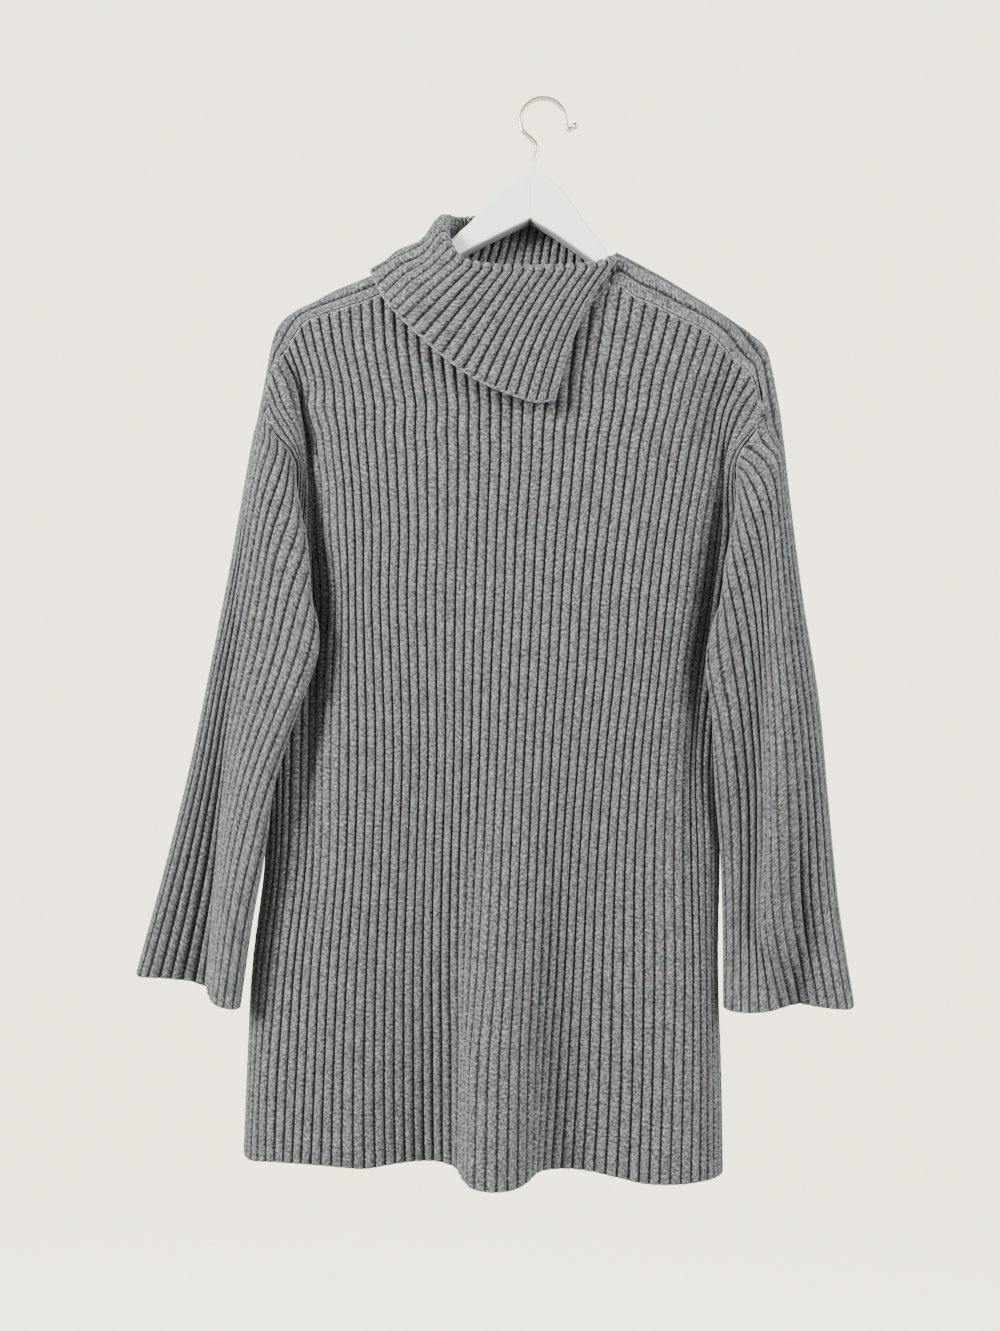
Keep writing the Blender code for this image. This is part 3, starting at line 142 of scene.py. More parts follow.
SHOULDER_LEFT = (  # rib of the front, ridge x, ridge z, back seam x, y, z
    (36.6, 67.5, -141.5, 67, 13, -146),
    (38.2, 89.5, -153, 91, 13, -157),
    (39.9, 112, -165.5, 112, 14, -170),
    (41.7, 134, -179, 134, 14, -183),
    (43.7, 155.5, -192.5, 155, 14, -197),
    (45.6, 175, -205.5, 174, 14, -211),
    (47.2, 191.5, -217, 189, 14, -224),
    (49.4, 205.5, -230, 201, 14, -240),
    (51.57, 215.5, -260.5, 210, 14, -269),
    (53.25, 219.5, -288, 214, 13, -291),
)
SLEEVE_RIGHT = (  # outer z, inner z, then (rib, x, y) round the sleeve
    (-304, -482, (
        (0, -264, -5), (2.5, -257, -24), (5, -247, -35), (7.5, -232, -39), (9, -220, -41),
        (10.5, -211, -36), (12, -217, -28), (14.5, -234, -22), (17, -257, -15), (18.5, -269, -5),
        (20, -272, 7), (22.5, -270, 13), (25.5, -267, 13), (28, -265, 8))),
    (-343, -513, (
        (0, -271, -5), (2.5, -265, -23), (5, -257, -34), (7.5, -246, -40), (10, -229, -45),
        (12, -212, -47), (13.3, -202, -41), (14.5, -209, -31), (16.5, -235, -25), (18.5, -261, -17),
        (20, -275, -6), (21.5, -280, 6), (23.5, -280, 12), (26, -277, 12), (28.3, -274, 8))),
    (-434, -564, (
        (0, -288, -3), (1.5, -284, -12), (3.5, -278, -14), (6, -265, -24), (8.5, -248, -35),
        (11, -232, -43), (12.7, -221, -43), (13.6, -219, -37), (14.6, -225, -29), (17, -248, -25),
        (19, -268, -19), (20.5, -279, -9), (22, -284, 3), (24, -285, 11), (26.5, -287, 12),
        (28.5, -289, 7))),
    (-527, -621, (
        (0, -306, -3), (1.5, -303, -11), (3.5, -296, -11), (5, -289, -9), (7, -280, -19),
        (9, -270, -31), (11, -258, -39), (13, -246, -41), (14, -240, -36), (15, -244, -28),
        (17, -262, -22), (19, -278, -12), (20.5, -287, -2), (22.5, -293, 9), (25, -299, 12),
        (28, -307, 8))),
    (-624, -688, (
        (0, -326, -4), (1.5, -322, -11), (4, -310, -8), (6.5, -296, -5), (8.5, -289, -18),
        (10.5, -281, -31), (12.5, -269, -39), (14, -257, -40), (15, -252, -35), (16, -254, -26),
        (18, -268, -14), (20, -278, -2), (21.5, -286, 8), (24.5, -301, 12), (27.5, -320, 11),
        (29, -326, 5))),
    (-716, -755, (
        (0, -349, -4), (1.5, -345, -10), (4.5, -324, -5), (7, -304, -1), (9, -298, -16),
        (11, -291, -31), (12.5, -283, -39), (14, -272, -40), (15.2, -265, -35), (16.3, -266, -25),
        (18.5, -277, -8), (20, -285, 4), (22, -299, 11), (25, -324, 12), (28, -346, 10),
        (29, -350, 4))),
    (-808, -832, (
        (0, -374, -4), (1.5, -370, -10), (4.5, -344, -3), (8, -311, 2), (9.7, -306, -14),
        (11.3, -300, -30), (13, -291, -39), (14.5, -280, -40), (15.5, -276, -34), (16.5, -277, -24),
        (18.5, -286, -6), (20, -294, 5), (22, -309, 11), (25.5, -339, 12), (28.5, -369, 10),
        (29.3, -375, 4))),
)
SLEEVE_LEFT = (  # outer z, inner z, then (rib, x, y) round the sleeve
    (-315, -477, (
        (0, 220, -5), (2.5, 212, -24), (5, 200, -34), (7.5, 183, -38), (9.5, 170, -40), (11, 161, -36),
        (12.5, 166, -28), (15, 180, -22), (17, 189, -14), (18.5, 196, -4), (20, 199, 7),
        (22.5, 203, 13), (25.5, 211, 13), (28, 219, 9))),
    (-361, -518, (
        (0, 225, -5), (2.5, 218, -21), (5, 209, -29), (7.5, 196, -33), (10, 178, -36),
        (12.3, 153, -42), (13.4, 142, -37), (14.6, 150, -28), (16.5, 169, -22), (18.3, 187, -14),
        (19.8, 197, -4), (21.2, 201, 6), (23.5, 206, 12), (26, 215, 12), (28.3, 225, 8))),
    (-462, -572, (
        (0, 237, -8), (1.5, 233, -17), (3, 225, -24), (5, 213, -35), (6, 207, -36), (7.5, 202, -30),
        (9, 196, -25), (11, 181, -26), (13, 162, -30), (14.2, 154, -27), (15.3, 156, -20),
        (17, 168, -17), (18.7, 182, -8), (20.2, 189, 3), (22, 199, 10), (24.5, 217, 12), (27, 234, 11),
        (28.7, 239, 3))),
    (-554, -635, (
        (0, 251, -10), (1.3, 245, -19), (3, 235, -27), (5, 220, -39), (6.3, 210, -46), (7.3, 204, -42),
        (9, 200, -29), (10.5, 193, -23), (12.5, 176, -23), (14, 162, -27), (15, 157, -23),
        (16, 161, -15), (17.3, 169, -5), (18.5, 176, 4), (20.5, 191, 10), (23.5, 222, 12),
        (27, 247, 10), (28.7, 253, 1))),
    (-646, -698, (
        (0, 259, -12), (1.3, 254, -20), (3.2, 241, -27), (5.2, 224, -38), (6.5, 209, -47),
        (7.5, 204, -42), (9, 201, -29), (10.5, 194, -21), (12.5, 180, -20), (14, 168, -18),
        (15, 164, -11), (16, 167, -1), (17.5, 180, 8), (20.5, 205, 11), (24, 233, 12), (27, 257, 10),
        (28.8, 262, 1))),
    (-742, -770, (
        (0, 268, -14), (1.3, 262, -21), (3.3, 247, -20), (5, 233, -17), (6.2, 218, -30),
        (7.2, 208, -43), (8, 202, -42), (9.3, 197, -31), (10.7, 192, -24), (12.5, 179, -22),
        (14, 170, -20), (15, 166, -12), (16, 169, -1), (18, 186, 8), (21, 212, 11), (24.5, 240, 12),
        (27.5, 266, 9), (28.8, 271, 0))),
    (-834, -836, (
        (0, 281, -20), (1.2, 276, -27), (3.2, 261, -24), (5, 248, -14), (6.6, 236, -3), (8, 221, -14),
        (9.3, 206, -28), (10.6, 192, -34), (12.2, 180, -33), (13.7, 170, -26), (14.8, 166, -15),
        (15.8, 169, -3), (17.5, 183, 7), (20.5, 212, 11), (24, 245, 12), (27, 272, 9),
        (28.7, 284, -4))),
)
COLLAR = (  # rib, fold x, y, z, free edge x, y, z
    (0, 64, -25, -152, 10, -42, -286),
    (2, 46, -31, -160, -8, -44, -288),
    (4, 27, -35, -163, -26, -44, -283),
    (8, -10, -39, -166, -64, -43, -266),
    (12, -47, -41, -165, -102, -40, -237),
    (15, -72, -39, -159, -128, -36, -212),
    (17.5, -86, -32, -143, -144, -30, -193),
    (20, -93, -18, -121, -155, -14, -171),
    (22.5, -92, 0, -107, -158, 4, -160),
    (25, -82, 15, -105, -149, 19, -170),
    (28, -68, 22, -102, -120, 23, -193),
    (33, -32, 24, -97, -61, 24, -218),
    (38, 5, 23, -100, -7, 24, -227),
    (43, 38, 21, -121, 40, 24, -240),
    (46, 55, 20, -132, 60, 24, -252),
)
HANGER = (  # x, z round the front face, from the crown down the left arm and back along the right
    (-9.5, -71.5), (-23, -74.5), (-34.5, -80.5), (-44.5, -88.5), (-54.5, -99.5), (-62, -109),
    (-69.5, -117), (-78.5, -124.5), (-88, -132.5), (-104, -143), (-128, -157), (-159, -172.5),
    (-188.5, -184), (-208.5, -194.5), (-223.5, -203.5), (-232.5, -214.5), (-236.5, -225.5),
    (-231, -234.5), (-218, -234), (-196, -218), (-159, -194.5), (-122.5, -172.5), (-95, -155.5),
    (-76.5, -145), (-43, -128), (-12, -113), (13.5, -128), (48.5, -153), (70.5, -170.5), (96, -191.5),
    (125.5, -213.5), (155, -235.5), (177, -251.5), (190, -256), (197, -249.5), (196, -238.5),
    (188, -227), (173.5, -215.5), (154, -202.5), (133, -188.5), (111, -174.5), (89, -163),
    (64, -148.5), (55.5, -136), (44.5, -122.5), (36, -110), (27.5, -97.5), (20.5, -87.5),
    (13.5, -80.5), (3.5, -74))
ARMHOLE_RIGHT = (  # share of the side edge, rib of the front at the edge
    (0, 0), (0.69, 0), (0.754, 0.7), (0.809, 1.2), (0.847, 1.6), (0.876, 2), (0.905, 2.5), (0.927, 3),
    (0.942, 4), (0.955, 5), (0.968, 6), (0.979, 7), (0.989, 8), (1, 9))
ARMHOLE_LEFT = (   # the same, ribs counted from the other seam
    (0, 0), (0.69, 0), (0.787, 1), (0.836, 1.7), (0.865, 2.5), (0.881, 3.2), (0.905, 3.75), (0.921, 4),
    (0.94, 5), (0.958, 6.1), (0.98, 7.6), (1, 9.8))
ARMHOLE_SEWN = (   # rib of the sleeve, share of the front's side edge it is sewn to
    (2.5, 0.905), (3.5, 0.888), (5.5, 0.865), (8, 0.846), (10, 0.815), (12, 0.776), (15, 0.727),
    (17.5, 0.69))
ARMHOLE_LAP = (    # rib of the sleeve, how far its edge lies over the front's edge and beside it
    (2.5, 0, 0.8), (6, 0, 0.8), (7, 2.2, 0.8), (8, 4.4, 0), (14, 4.4, 0), (16, 3.6, 2.4), (17.5, 0, 4.4))
BACK_NECK = (      # x, z along the back neckline
    (-98, -145), (-90, -150), (-60, -156), (-15, -158), (30, -156), (58, -150), (67, -146))

# ---- relief of the knit -------------------------------------------------------------------
RIB_PROFILE = (         # share of the pitch from one groove to the next, share of the height
    (0.06, 0.0), (0.13, 0.5), (0.23, 0.86), (0.4, 1.0), (0.6, 1.0), (0.77, 0.86), (0.87, 0.5), (0.94, 0.0))
CREST = 2.4             # top of a rib above the middle surface
GROOVE = -0.4           # bottom of a groove
INNER = -1.5            # inner face behind a groove
INNER_HOLLOW = 0.8      # the inner face is hollow behind a rib by this much
EDGE_ROUND = 2.2        # free edges are rounded over this distance
SEAM_FADE = 2.6         # ribs die out over this distance before a seam
TURN_FADE = 6.0         # the wall turns to its neighbour's direction over this distance
SIGHT = 8.0             # seams and edges colour the cloth within this distance
STRAP_RELIEF = 0.75     # the ribs of the straps are flatter
FLAT_SHARE = 0.55       # where ribs have died out, the cloth lies at this share of their height
BEND, BEND_OPENS = 4.0, 0.4     # where the cloth bends out this far, ribs are flatter by this share
LIFT_EASE = 4           # rows below the armhole over which a sleeve rises off the front
# typed in after a scratch program had printed where the rendered hem lay
HEM_LIFT = (            # rib of the front, how much higher its hem hangs than the straight cut
    (0, 0), (3, 0.5), (6, 3.5), (10, 4.4), (13, 3.2), (15, 1.6), (17, 3.4), (20, 5.8), (23, 6.4),
    (24.5, 4.5), (26, 1.5), (28, 3), (31, 1.5), (33, 3), (34.5, 6.5), (36, 9), (38, 8.6),
    (40, 7.8), (42, 6), (44, 2.8), (46, -0.3), (49, 0), (52, 1), (57, 0))
SLIT_HOLLOW, SLIT_RIBS = 9.3, 12        # hollow of the collar's open edge, ribs over which it ends
SIDE_HOLLOW, SIDE_RIBS, SIDE_EASE = 6.5, (15, 31), 5    # the same of its side over the strap
SIDE_SHARE = 0.6        # the side is hollow over this share of the hanging part
SIDE_WAY = (0.63, 0, -0.77)             # direction in which the side is drawn in
ELBOW = (-482, 5.7, 48, 45)     # height of the elbow, its swing, spread up and down, reach across
VALLEYS = (             # beside the arms: rib of the front, half width in ribs, deeper by, lean
    (7.6, 1.5, 10.0, 1.5), (50.8, 1.4, 9.0, -3.0))
LEAN_BESIDE, LEAN_WIDTH = 1.6, 0.6      # ribs from a hollow to its leaning edge, width of that edge
VALLEY_SPAN = ((-900, 0), (-760, 0.35), (-620, 0.8), (-480, 1), (-340, 1), (-290, 0.5), (-255, 0))
STRAP_TUCK = 6.0        # the straps run on under the collar by this much
RIB_SLIDE = (           # rib over the shoulder, its slide forward along the strap, at its end, below
    (-8, 0, 0, 0), (-2.5, 0, 0, 0.6), (0, 0.25, 0.8, 1), (0.5, 0.46, 1.1, 1), (1.5, 0.34, 0.6, 1),
    (2.5, 0, 0, 1), (5, 0, 0, 1), (8, 0, 0, 0.7), (12, 0, 0, 0))
SLIDE_LEFT = (          # share down the sleeve, share of the slide that is left
    (0.12, 1), (0.25, 0.95), (0.4, 0.6), (0.6, 0.3), (1, 0))
# where the end of the strap is evened out into the sleeve, and the ribs run straight below it
STRAP_ROWS, STRAP_PASSES = (-14, 24), 150       # rows from the end of the strap, passes
STRAP_BEHIND = 9        # ribs behind the ridge that are evened out below the strap
STRAIGHT_ROWS, STRAIGHT_PASSES = (8, 76), 70
STRAIGHT_TO = 15        # last rib that runs straight
EASE_STEP = 0.9         # share of the way to the middle of its neighbours in one pass
LIFT_SEARCH = 20        # a layer looks for what it lies on within this distance
LIFT_ROWS = 60          # rows below the armhole that may lie on the front
FRONT_ROWS, BACK_ROWS = (96, 760), (90, 800)    # number of rows of a panel, its height
STRAP_STEPS = 70        # rows along a strap
STAND_ROWS = 14         # rows from the neckline to the fold of the collar

# ---- looks --------------------------------------------------------------------------------
KNIT_DARK, KNIT_MIDDLE = (0.0355, 0.0373, 0.0415), (0.099, 0.1022, 0.1045)
KNIT_LIGHT = (0.227, 0.231, 0.2295)
KNIT_THREAD = (0.3, 0.3, 0.293)
GROOVE_SHADE = 0.2       # painted shade: colour of a groove as a share of that of a rib
STITCH_COLUMNS, STITCH_ROW = 3, 2.3             # columns of stitches on a rib, height of a stitch
STITCH_LEAN, STITCH_DEPTH = 0.9, 0.28
PAINT, PAINT_LIGHT = (0.955, 0.96, 0.915, 1), (0.985, 0.99, 0.945, 1)
# the second colour below is painted shade under the board, where its paint is also thinner
PAINT_WORN, UNDER_SHADE_THIN_PAINT = (0.72, 0.7, 0.66, 1), (0.36, 0.35, 0.335, 1)
JOINT_TONE, BARE_WOOD = (0.4, 0.38, 0.35, 1), (0.3, 0.13, 0.09, 1)
WIRE, WIRE_DULL = (0.4, 0.395, 0.38, 1), (0.3, 0.295, 0.285, 1)
PAPER, PAPER_GLOW = (0.955, 0.862, 0.64), 2.75
SKY, SKY_STRENGTH = (0.95, 0.98, 1.0), 0.49
HANGER_APEX = (-12, -113)       # inner corner of the hanger, its point in HANGER
HOOK_STEM = ((-8, -56), (-6.2, -47), (-6.2, -42), (-10, -36.5))    # x, z of the wire up to the bow
HOOK_BOW = (212, -14)           # degrees at which the bow starts and ends
HOOK_TIP = ((23.5, -27), (27.5, -25))           # x, z of the wire's last stretch
HOOK_BALL = 3.0         # radius of the ball at its end
FLOOR = -1.9            # metres, as all of the studio
COVE_RADIUS, COVE_BEND, COVE_HEIGHT = 4.6, 1.4, 5.6
EYE, LENS = (-0.0398, -1.25, -0.5226), 36.55
LAMPS_AIM = (-0.04, 0.0, -0.52)
LAMPS = (   # name, place, size, power in watts, colour
    ("window", (-2.2, -1.6, 0.55), (0.9, 1.2), 246, (1.0, 0.98, 0.95)),
    ("room", (2.5, -1.6, 0.4), (1.8, 1.8), 166, (0.95, 0.98, 1.0)),
)


def spline(knots, values, at):
    """Smooth curve through the values at the knots, held level beyond the ends."""
    knots, values, at = (np.asarray(a, float) for a in (knots, values, at))
    shape = at.shape + values.shape[1:]
    at = at.reshape(-1)
    wide = (-1,) + (1,) * (values.ndim - 1)
    step = np.diff(knots).reshape(wide)
    rise = np.diff(values, axis=0) / step
    inner = (step[1:] * rise[:-1] + step[:-1] * rise[1:]) / (step[1:] + step[:-1])
    slope = np.concatenate([rise[:1], inner, rise[-1:]])
    at = np.clip(at, knots[0], knots[-1])
    i = np.clip(np.searchsorted(knots, at, side="right") - 1, 0, len(knots) - 2)
    span = (knots[i + 1] - knots[i]).reshape(wide)
    u = (at - knots[i]).reshape(wide) / span
    curve = (values[i] * (1 + 2 * u) * (1 - u) ** 2 + slope[i] * span * u * (1 - u) ** 2
             + values[i + 1] * u * u * (3 - 2 * u) - slope[i + 1] * span * u * u * (1 - u))
    return curve.reshape(shape)


def round_spline(knots, values, at, period):
    """The same through knots on a ring of the given length."""
    knots, values = np.asarray(knots, float), np.asarray(values, float)
    wide = np.concatenate([knots[-3:] - period, knots, knots[:3] + period])
    return spline(wide, np.concatenate([values[-3:], values, values[:3]]), np.mod(at, period))


def by_height(table):
    """Heights in rising order and the row of offsets at each."""
    return np.array(sorted(table)), np.array([table[z] for z in sorted(table)], float)


def from_table(table, at):
    knots, values = np.array(table, float).T
    return spline(knots, values, at)


def in_net(net, row, col):
    """Smooth reading of a fine net of numbers at fractional rows and columns."""
    def weights(t):
        return ((-t + 2 * t ** 2 - t ** 3) / 2, (2 - 5 * t ** 2 + 3 * t ** 3) / 2,
                (t + 4 * t ** 2 - 3 * t ** 3) / 2, (t ** 3 - t ** 2) / 2)

    row, col = np.clip(row, 0, net.shape[0] - 1), np.clip(col, 0, net.shape[1] - 1)
    r = np.minimum(row.astype(int), net.shape[0] - 2)
    c = np.minimum(col.astype(int), net.shape[1] - 2)
    total = np.zeros(row.shape)
    for i, a in enumerate(weights(row - r)):
        for j, b in enumerate(weights(col - c)):
            near = net[np.clip(r + i - 1, 0, net.shape[0] - 1), np.clip(c + j - 1, 0, net.shape[1] - 1)]
            total += a * b * near
    return total


class Front:
    """The front panel: ribs from seam to seam (u), from the hem to the top edge (v)."""

    def __init__(self):
        self.z = np.linspace(-1000, -150, 69)
        self.rib = np.linspace(0, RIBS_FRONT, 2 * RIBS_FRONT + 1)
        rows, x = by_height(FRONT_X)
        self.x = spline(FRONT_RIBS, spline(rows, x, self.z).T, self.rib).T
        rows, y = by_height(FRONT_Y)
        self.y = spline(DEPTH_RIBS, spline(rows, y, self.z).T, self.rib).T
        self.y -= np.outer(from_table(CENTRE_FOLD_DEPTH, self.z), from_table(CENTRE_FOLD, self.rib))
        self.crowd()

    def crowd(self):
        """Where the cloth runs towards or away from the front, its ribs stand closer in x."""
        slope = np.gradient(self.y, self.rib, axis=1)
        lay = np.sqrt(np.maximum(1 - (slope / RIB_PITCH) ** 2, 0.35 ** 2))
        middle = (self.rib >= 13) & (self.rib <= 45)
        x = self.x[:, middle]
        run = np.diff(x, axis=1) * (lay[:, middle][:, 1:] + lay[:, middle][:, :-1]) / 2
        run *= (x[:, -1:] - x[:, :1]) / run.sum(axis=1, keepdims=True)
        self.x[:, middle] = x[:, :1] + np.concatenate([np.zeros((len(x), 1)), np.cumsum(run, axis=1)], axis=1)

    def place(self, rib, z):
        """The point of a rib at a height; both may be arrays of one shape."""
        rib, z = np.broadcast_arrays(np.asarray(rib, float), np.asarray(z, float))
        row, col = (z - self.z[0]) / (self.z[1] - self.z[0]), rib * 2
        return np.stack([in_net(self.x, row, col), in_net(self.y, row, col), z], axis=-1)

    def ribs(self, u, v):
        low = np.interp(v, *np.array(ARMHOLE_RIGHT).T)
        high = RIBS_FRONT - np.interp(v, *np.array(ARMHOLE_LEFT).T)
        return low + (high - low) * u

    def at(self, u, v):
        """The point at share u across and share v up."""
        u, v = np.broadcast_arrays(np.asarray(u, float), np.asarray(v, float))
        hem = HEM_AT_RIGHT_SEAM + (HEM_AT_LEFT_SEAM - HEM_AT_RIGHT_SEAM) * u
        top = from_table(FRONT_TOP, self.ribs(u, 1))
        return self.place(self.ribs(u, v), hem + (top - hem) * v)

    def normal(self, u, v):
        """Direction out of the front at a side edge."""
        step = 0.02 if u < 0.5 else -0.02
        across = (self.at(u + step, v) - self.at(u, v)) / step
        up = self.at(u, v + 0.005) - self.at(u, v - 0.005)
        return unit(np.cross(across, up))

    def share(self, rib):
        """Share across of the column that ends in the top edge at a rib."""
        return (np.asarray(rib, float) - self.ribs(0, 1)) / (self.ribs(1, 1) - self.ribs(0, 1))

    def up_side(self, rib):
        """Share up the side edge at which it meets a rib."""
        table = np.array(ARMHOLE_RIGHT[1:] if rib < RIBS_FRONT / 2 else ARMHOLE_LEFT[1:])
        return np.interp(min(rib, RIBS_FRONT - rib), table[:, 1], table[:, 0])

    def edge(self, rib):
        """The point of the shoulder and neck edge at a rib."""
        u = np.clip(self.share(rib), 0, 1)
        return self.at(u, 1.0 if 0 < u < 1 else self.up_side(rib))


class Back:
    """The back panel: straight ribs between the side seams and the back armholes."""

    def __init__(self, front):
        self.front = front
        top = [(s[3], s[5]) for s in SHOULDER_RIGHT[CORNER:0:-1]] + list(BACK_NECK)
        self.line = np.array(top + [(s[3], s[5]) for s in SHOULDER_LEFT[1:CORNER + 1]], float)

    def side(self, u, v):
        """The side edge at shares v up: the side seam, then the armhole up to the shoulder."""
        seam = self.front.at(np.full(v.shape, float(u)), np.minimum(v, UNDERARM_SHARE))
        start = self.front.at(float(u), UNDERARM_SHARE)
        stations = (SHOULDER_LEFT if u else SHOULDER_RIGHT)[:CORNER - 1:-1]
        share = [UNDERARM_SHARE] + [float(self.front.up_side(s[0])) for s in stations]
        x = np.interp(v, share, [start[0]] + [s[3] for s in stations])
        z = np.interp(v, share, [start[2]] + [s[5] - SEAM_GAP for s in stations])
        y = start[1] + SEAM_GAP + (BACK_DEPTH - start[1] - SEAM_GAP) * np.clip((v - UNDERARM_SHARE) * 9, 0, 1)
        below = v < UNDERARM_SHARE
        return (np.where(below, seam[..., 0], x), np.where(below, seam[..., 1] + SEAM_GAP, y),
                np.where(below, seam[..., 2], z))

    def at(self, u, v):
        """The point at share u across and share v up."""
        u, v = np.broadcast_arrays(np.asarray(u, float), np.asarray(v, float))
        x0, y0, z0 = self.side(0, v)
        x1, y1, z1 = self.side(1, v)
        from_seam = np.minimum(u, 1 - u) * RIBS_FRONT / 3
        flat = 1 - (1 - np.clip(from_seam, 0, 1)) ** 2.2
        wave = BACK_WAVE * np.sin(u * 6 * math.pi) * np.clip((0.75 - v) / 0.6, 0, 1)
        y = np.where(u < 0.5, y0, y1) * (1 - flat) + (BACK_DEPTH + wave) * flat
        hem = HEM_AT_RIGHT_SEAM + (HEM_AT_LEFT_SEAM - HEM_AT_RIGHT_SEAM) * u
        first, last = self.line[0], self.line[-1]
        z = hem + (from_table(self.line, first[0] + (last[0] - first[0]) * u) - SEAM_GAP - hem) * v
        sides = ((z0, 1 - 4 * u, HEM_AT_RIGHT_SEAM, first), (z1, 4 * u - 3, HEM_AT_LEFT_SEAM, last))
        for edge, near, low, high in sides:
            z = z + (edge - low - (high[1] - SEAM_GAP - low) * v) * np.clip(near, 0, 1) ** 2
        return np.stack([x0 + (x1 - x0) * u, y, z], axis=-1)

    def share(self, x):
        """Share across of the column that ends in the top edge at x."""
        return (np.asarray(x, float) - self.line[0, 0]) / (self.line[-1, 0] - self.line[0, 0])


class Sleeve:
    """One sleeve with its saddle strap: a tube open at the cuff and a tongue up to the neck."""

    def __init__(self, front, back, shoulder, rings, side):
        self.front, self.back, self.shoulder = front, back, np.array(shoulder, float)
        self.rings, self.side, self.sign = rings, side, 1 if side else -1

    def strap(self, station, rib):
        """Point of the strap at a station along the shoulder, rib -2.5 to 2.5 over its ridge."""
        stations = np.arange(len(self.shoulder))
        x, z = spline(stations, self.shoulder[:, 1:3], station)
        front_rib, *seam = (np.interp(station, stations, self.shoulder[:, k]) for k in (0, 3, 4, 5))
        steep = np.interp(z, [-250, -200], [1, 0])
        ridge = np.array([x - SADDLE_INSET * self.sign * steep, 0, z - SADDLE_INSET * (1 - steep)])
        if rib >= 0:
            seam = self.front.edge(front_rib)
        elif station > CORNER:
            seam = self.back.at(self.side, self.front.up_side(front_rib))
        seam = np.array(seam)
        towards = (ridge - seam) * (1, 0, 1)
        seam = seam + towards / np.linalg.norm(towards) * SEAM_GAP
        angle = np.linspace(0, math.pi / 2, 60)
        away = np.sin(angle) ** (2 / SADDLE_SQUARE)
        down = 1 - np.cos(angle) ** (2 / SADDLE_SQUARE)
        share = np.stack([down, away, down], axis=-1)
        way = ridge + share * (seam - ridge)
        along = np.concatenate([[0], np.cumsum(np.linalg.norm(np.diff(way, axis=0), axis=1))])
        at = abs(rib) / SADDLE_HALF * along[-1]
        return np.array([np.interp(at, along, way[:, k]) for k in range(3)])

    def armhole(self, rib):
        """The armhole seam: over the shoulder, down the front panel's edge, up the back's."""
        beside = np.array([self.sign, 0, -0.4])
        if rib <= SADDLE_HALF or rib >= RIBS_SLEEVE - SADDLE_HALF:
            return self.strap(len(self.shoulder) - 1, rib if rib <= SADDLE_HALF else rib - RIBS_SLEEVE)
        if rib <= UNDERARM_RIB:
            v = from_table(ARMHOLE_SEWN, rib)
            lap, aside = (np.interp(rib, *np.array(ARMHOLE_LAP)[:, (0, k)].T) for k in (1, 2))
            return self.front.at(self.side, v) + self.front.normal(self.side, v) * lap + beside * aside
        up = (rib - UNDERARM_RIB) / (RIBS_SLEEVE - SADDLE_HALF - UNDERARM_RIB)
        aside = np.interp(up, [0, 0.15, 0.3], [ARMHOLE_LAP[-1][2], 3.4, SEAM_GAP])
        v = UNDERARM_SHARE + (ARMHOLE_SEWN[0][1] - UNDERARM_SHARE) * up
        return self.back.at(self.side, v) + beside * aside

    def ring(self, k, rib):
        outer, inner, around = self.rings[k]
        q, x, y = np.array(around, float).T
        x, y = (round_spline(q, a, rib, RIBS_SLEEVE) for a in (x, y))
        half = rib / 34 if rib < 17 else (RIBS_SLEEVE - rib) / 26
        return np.array([x, y, outer + (inner - outer) * math.sin(half * math.pi) ** 2])

    def column(self, rib, strap_rows, rows):
        """Points down one rib: strap_rows are stations, rows run from 0 at the armhole to 1 at the cuff."""
        knots = np.linspace(0, 1, len(self.rings) + 1)
        points = [self.armhole(rib)] + [self.ring(k, rib) for k in range(len(self.rings))]
        if SADDLE_HALF < rib < RIBS_SLEEVE - SADDLE_HALF:
            blank = np.full((len(strap_rows), 3), np.nan)
            return np.concatenate([blank, spline(knots, points, rows)])
        over = rib if rib <= SADDLE_HALF else rib - RIBS_SLEEVE
        last = len(self.shoulder) - 1
        stations = np.unique(np.append(np.arange(0, last, 0.5), strap_rows))
        points = [self.strap(s, over) for s in stations] + points
        knots = np.concatenate([(stations - last) * 0.1, knots])
        return spline(knots, points, np.concatenate([(strap_rows - last) * 0.1, rows]))

    def points(self, ribs, strap_rows, rows):
        return np.stack([self.column(rib, strap_rows, rows) for rib in ribs], axis=1)


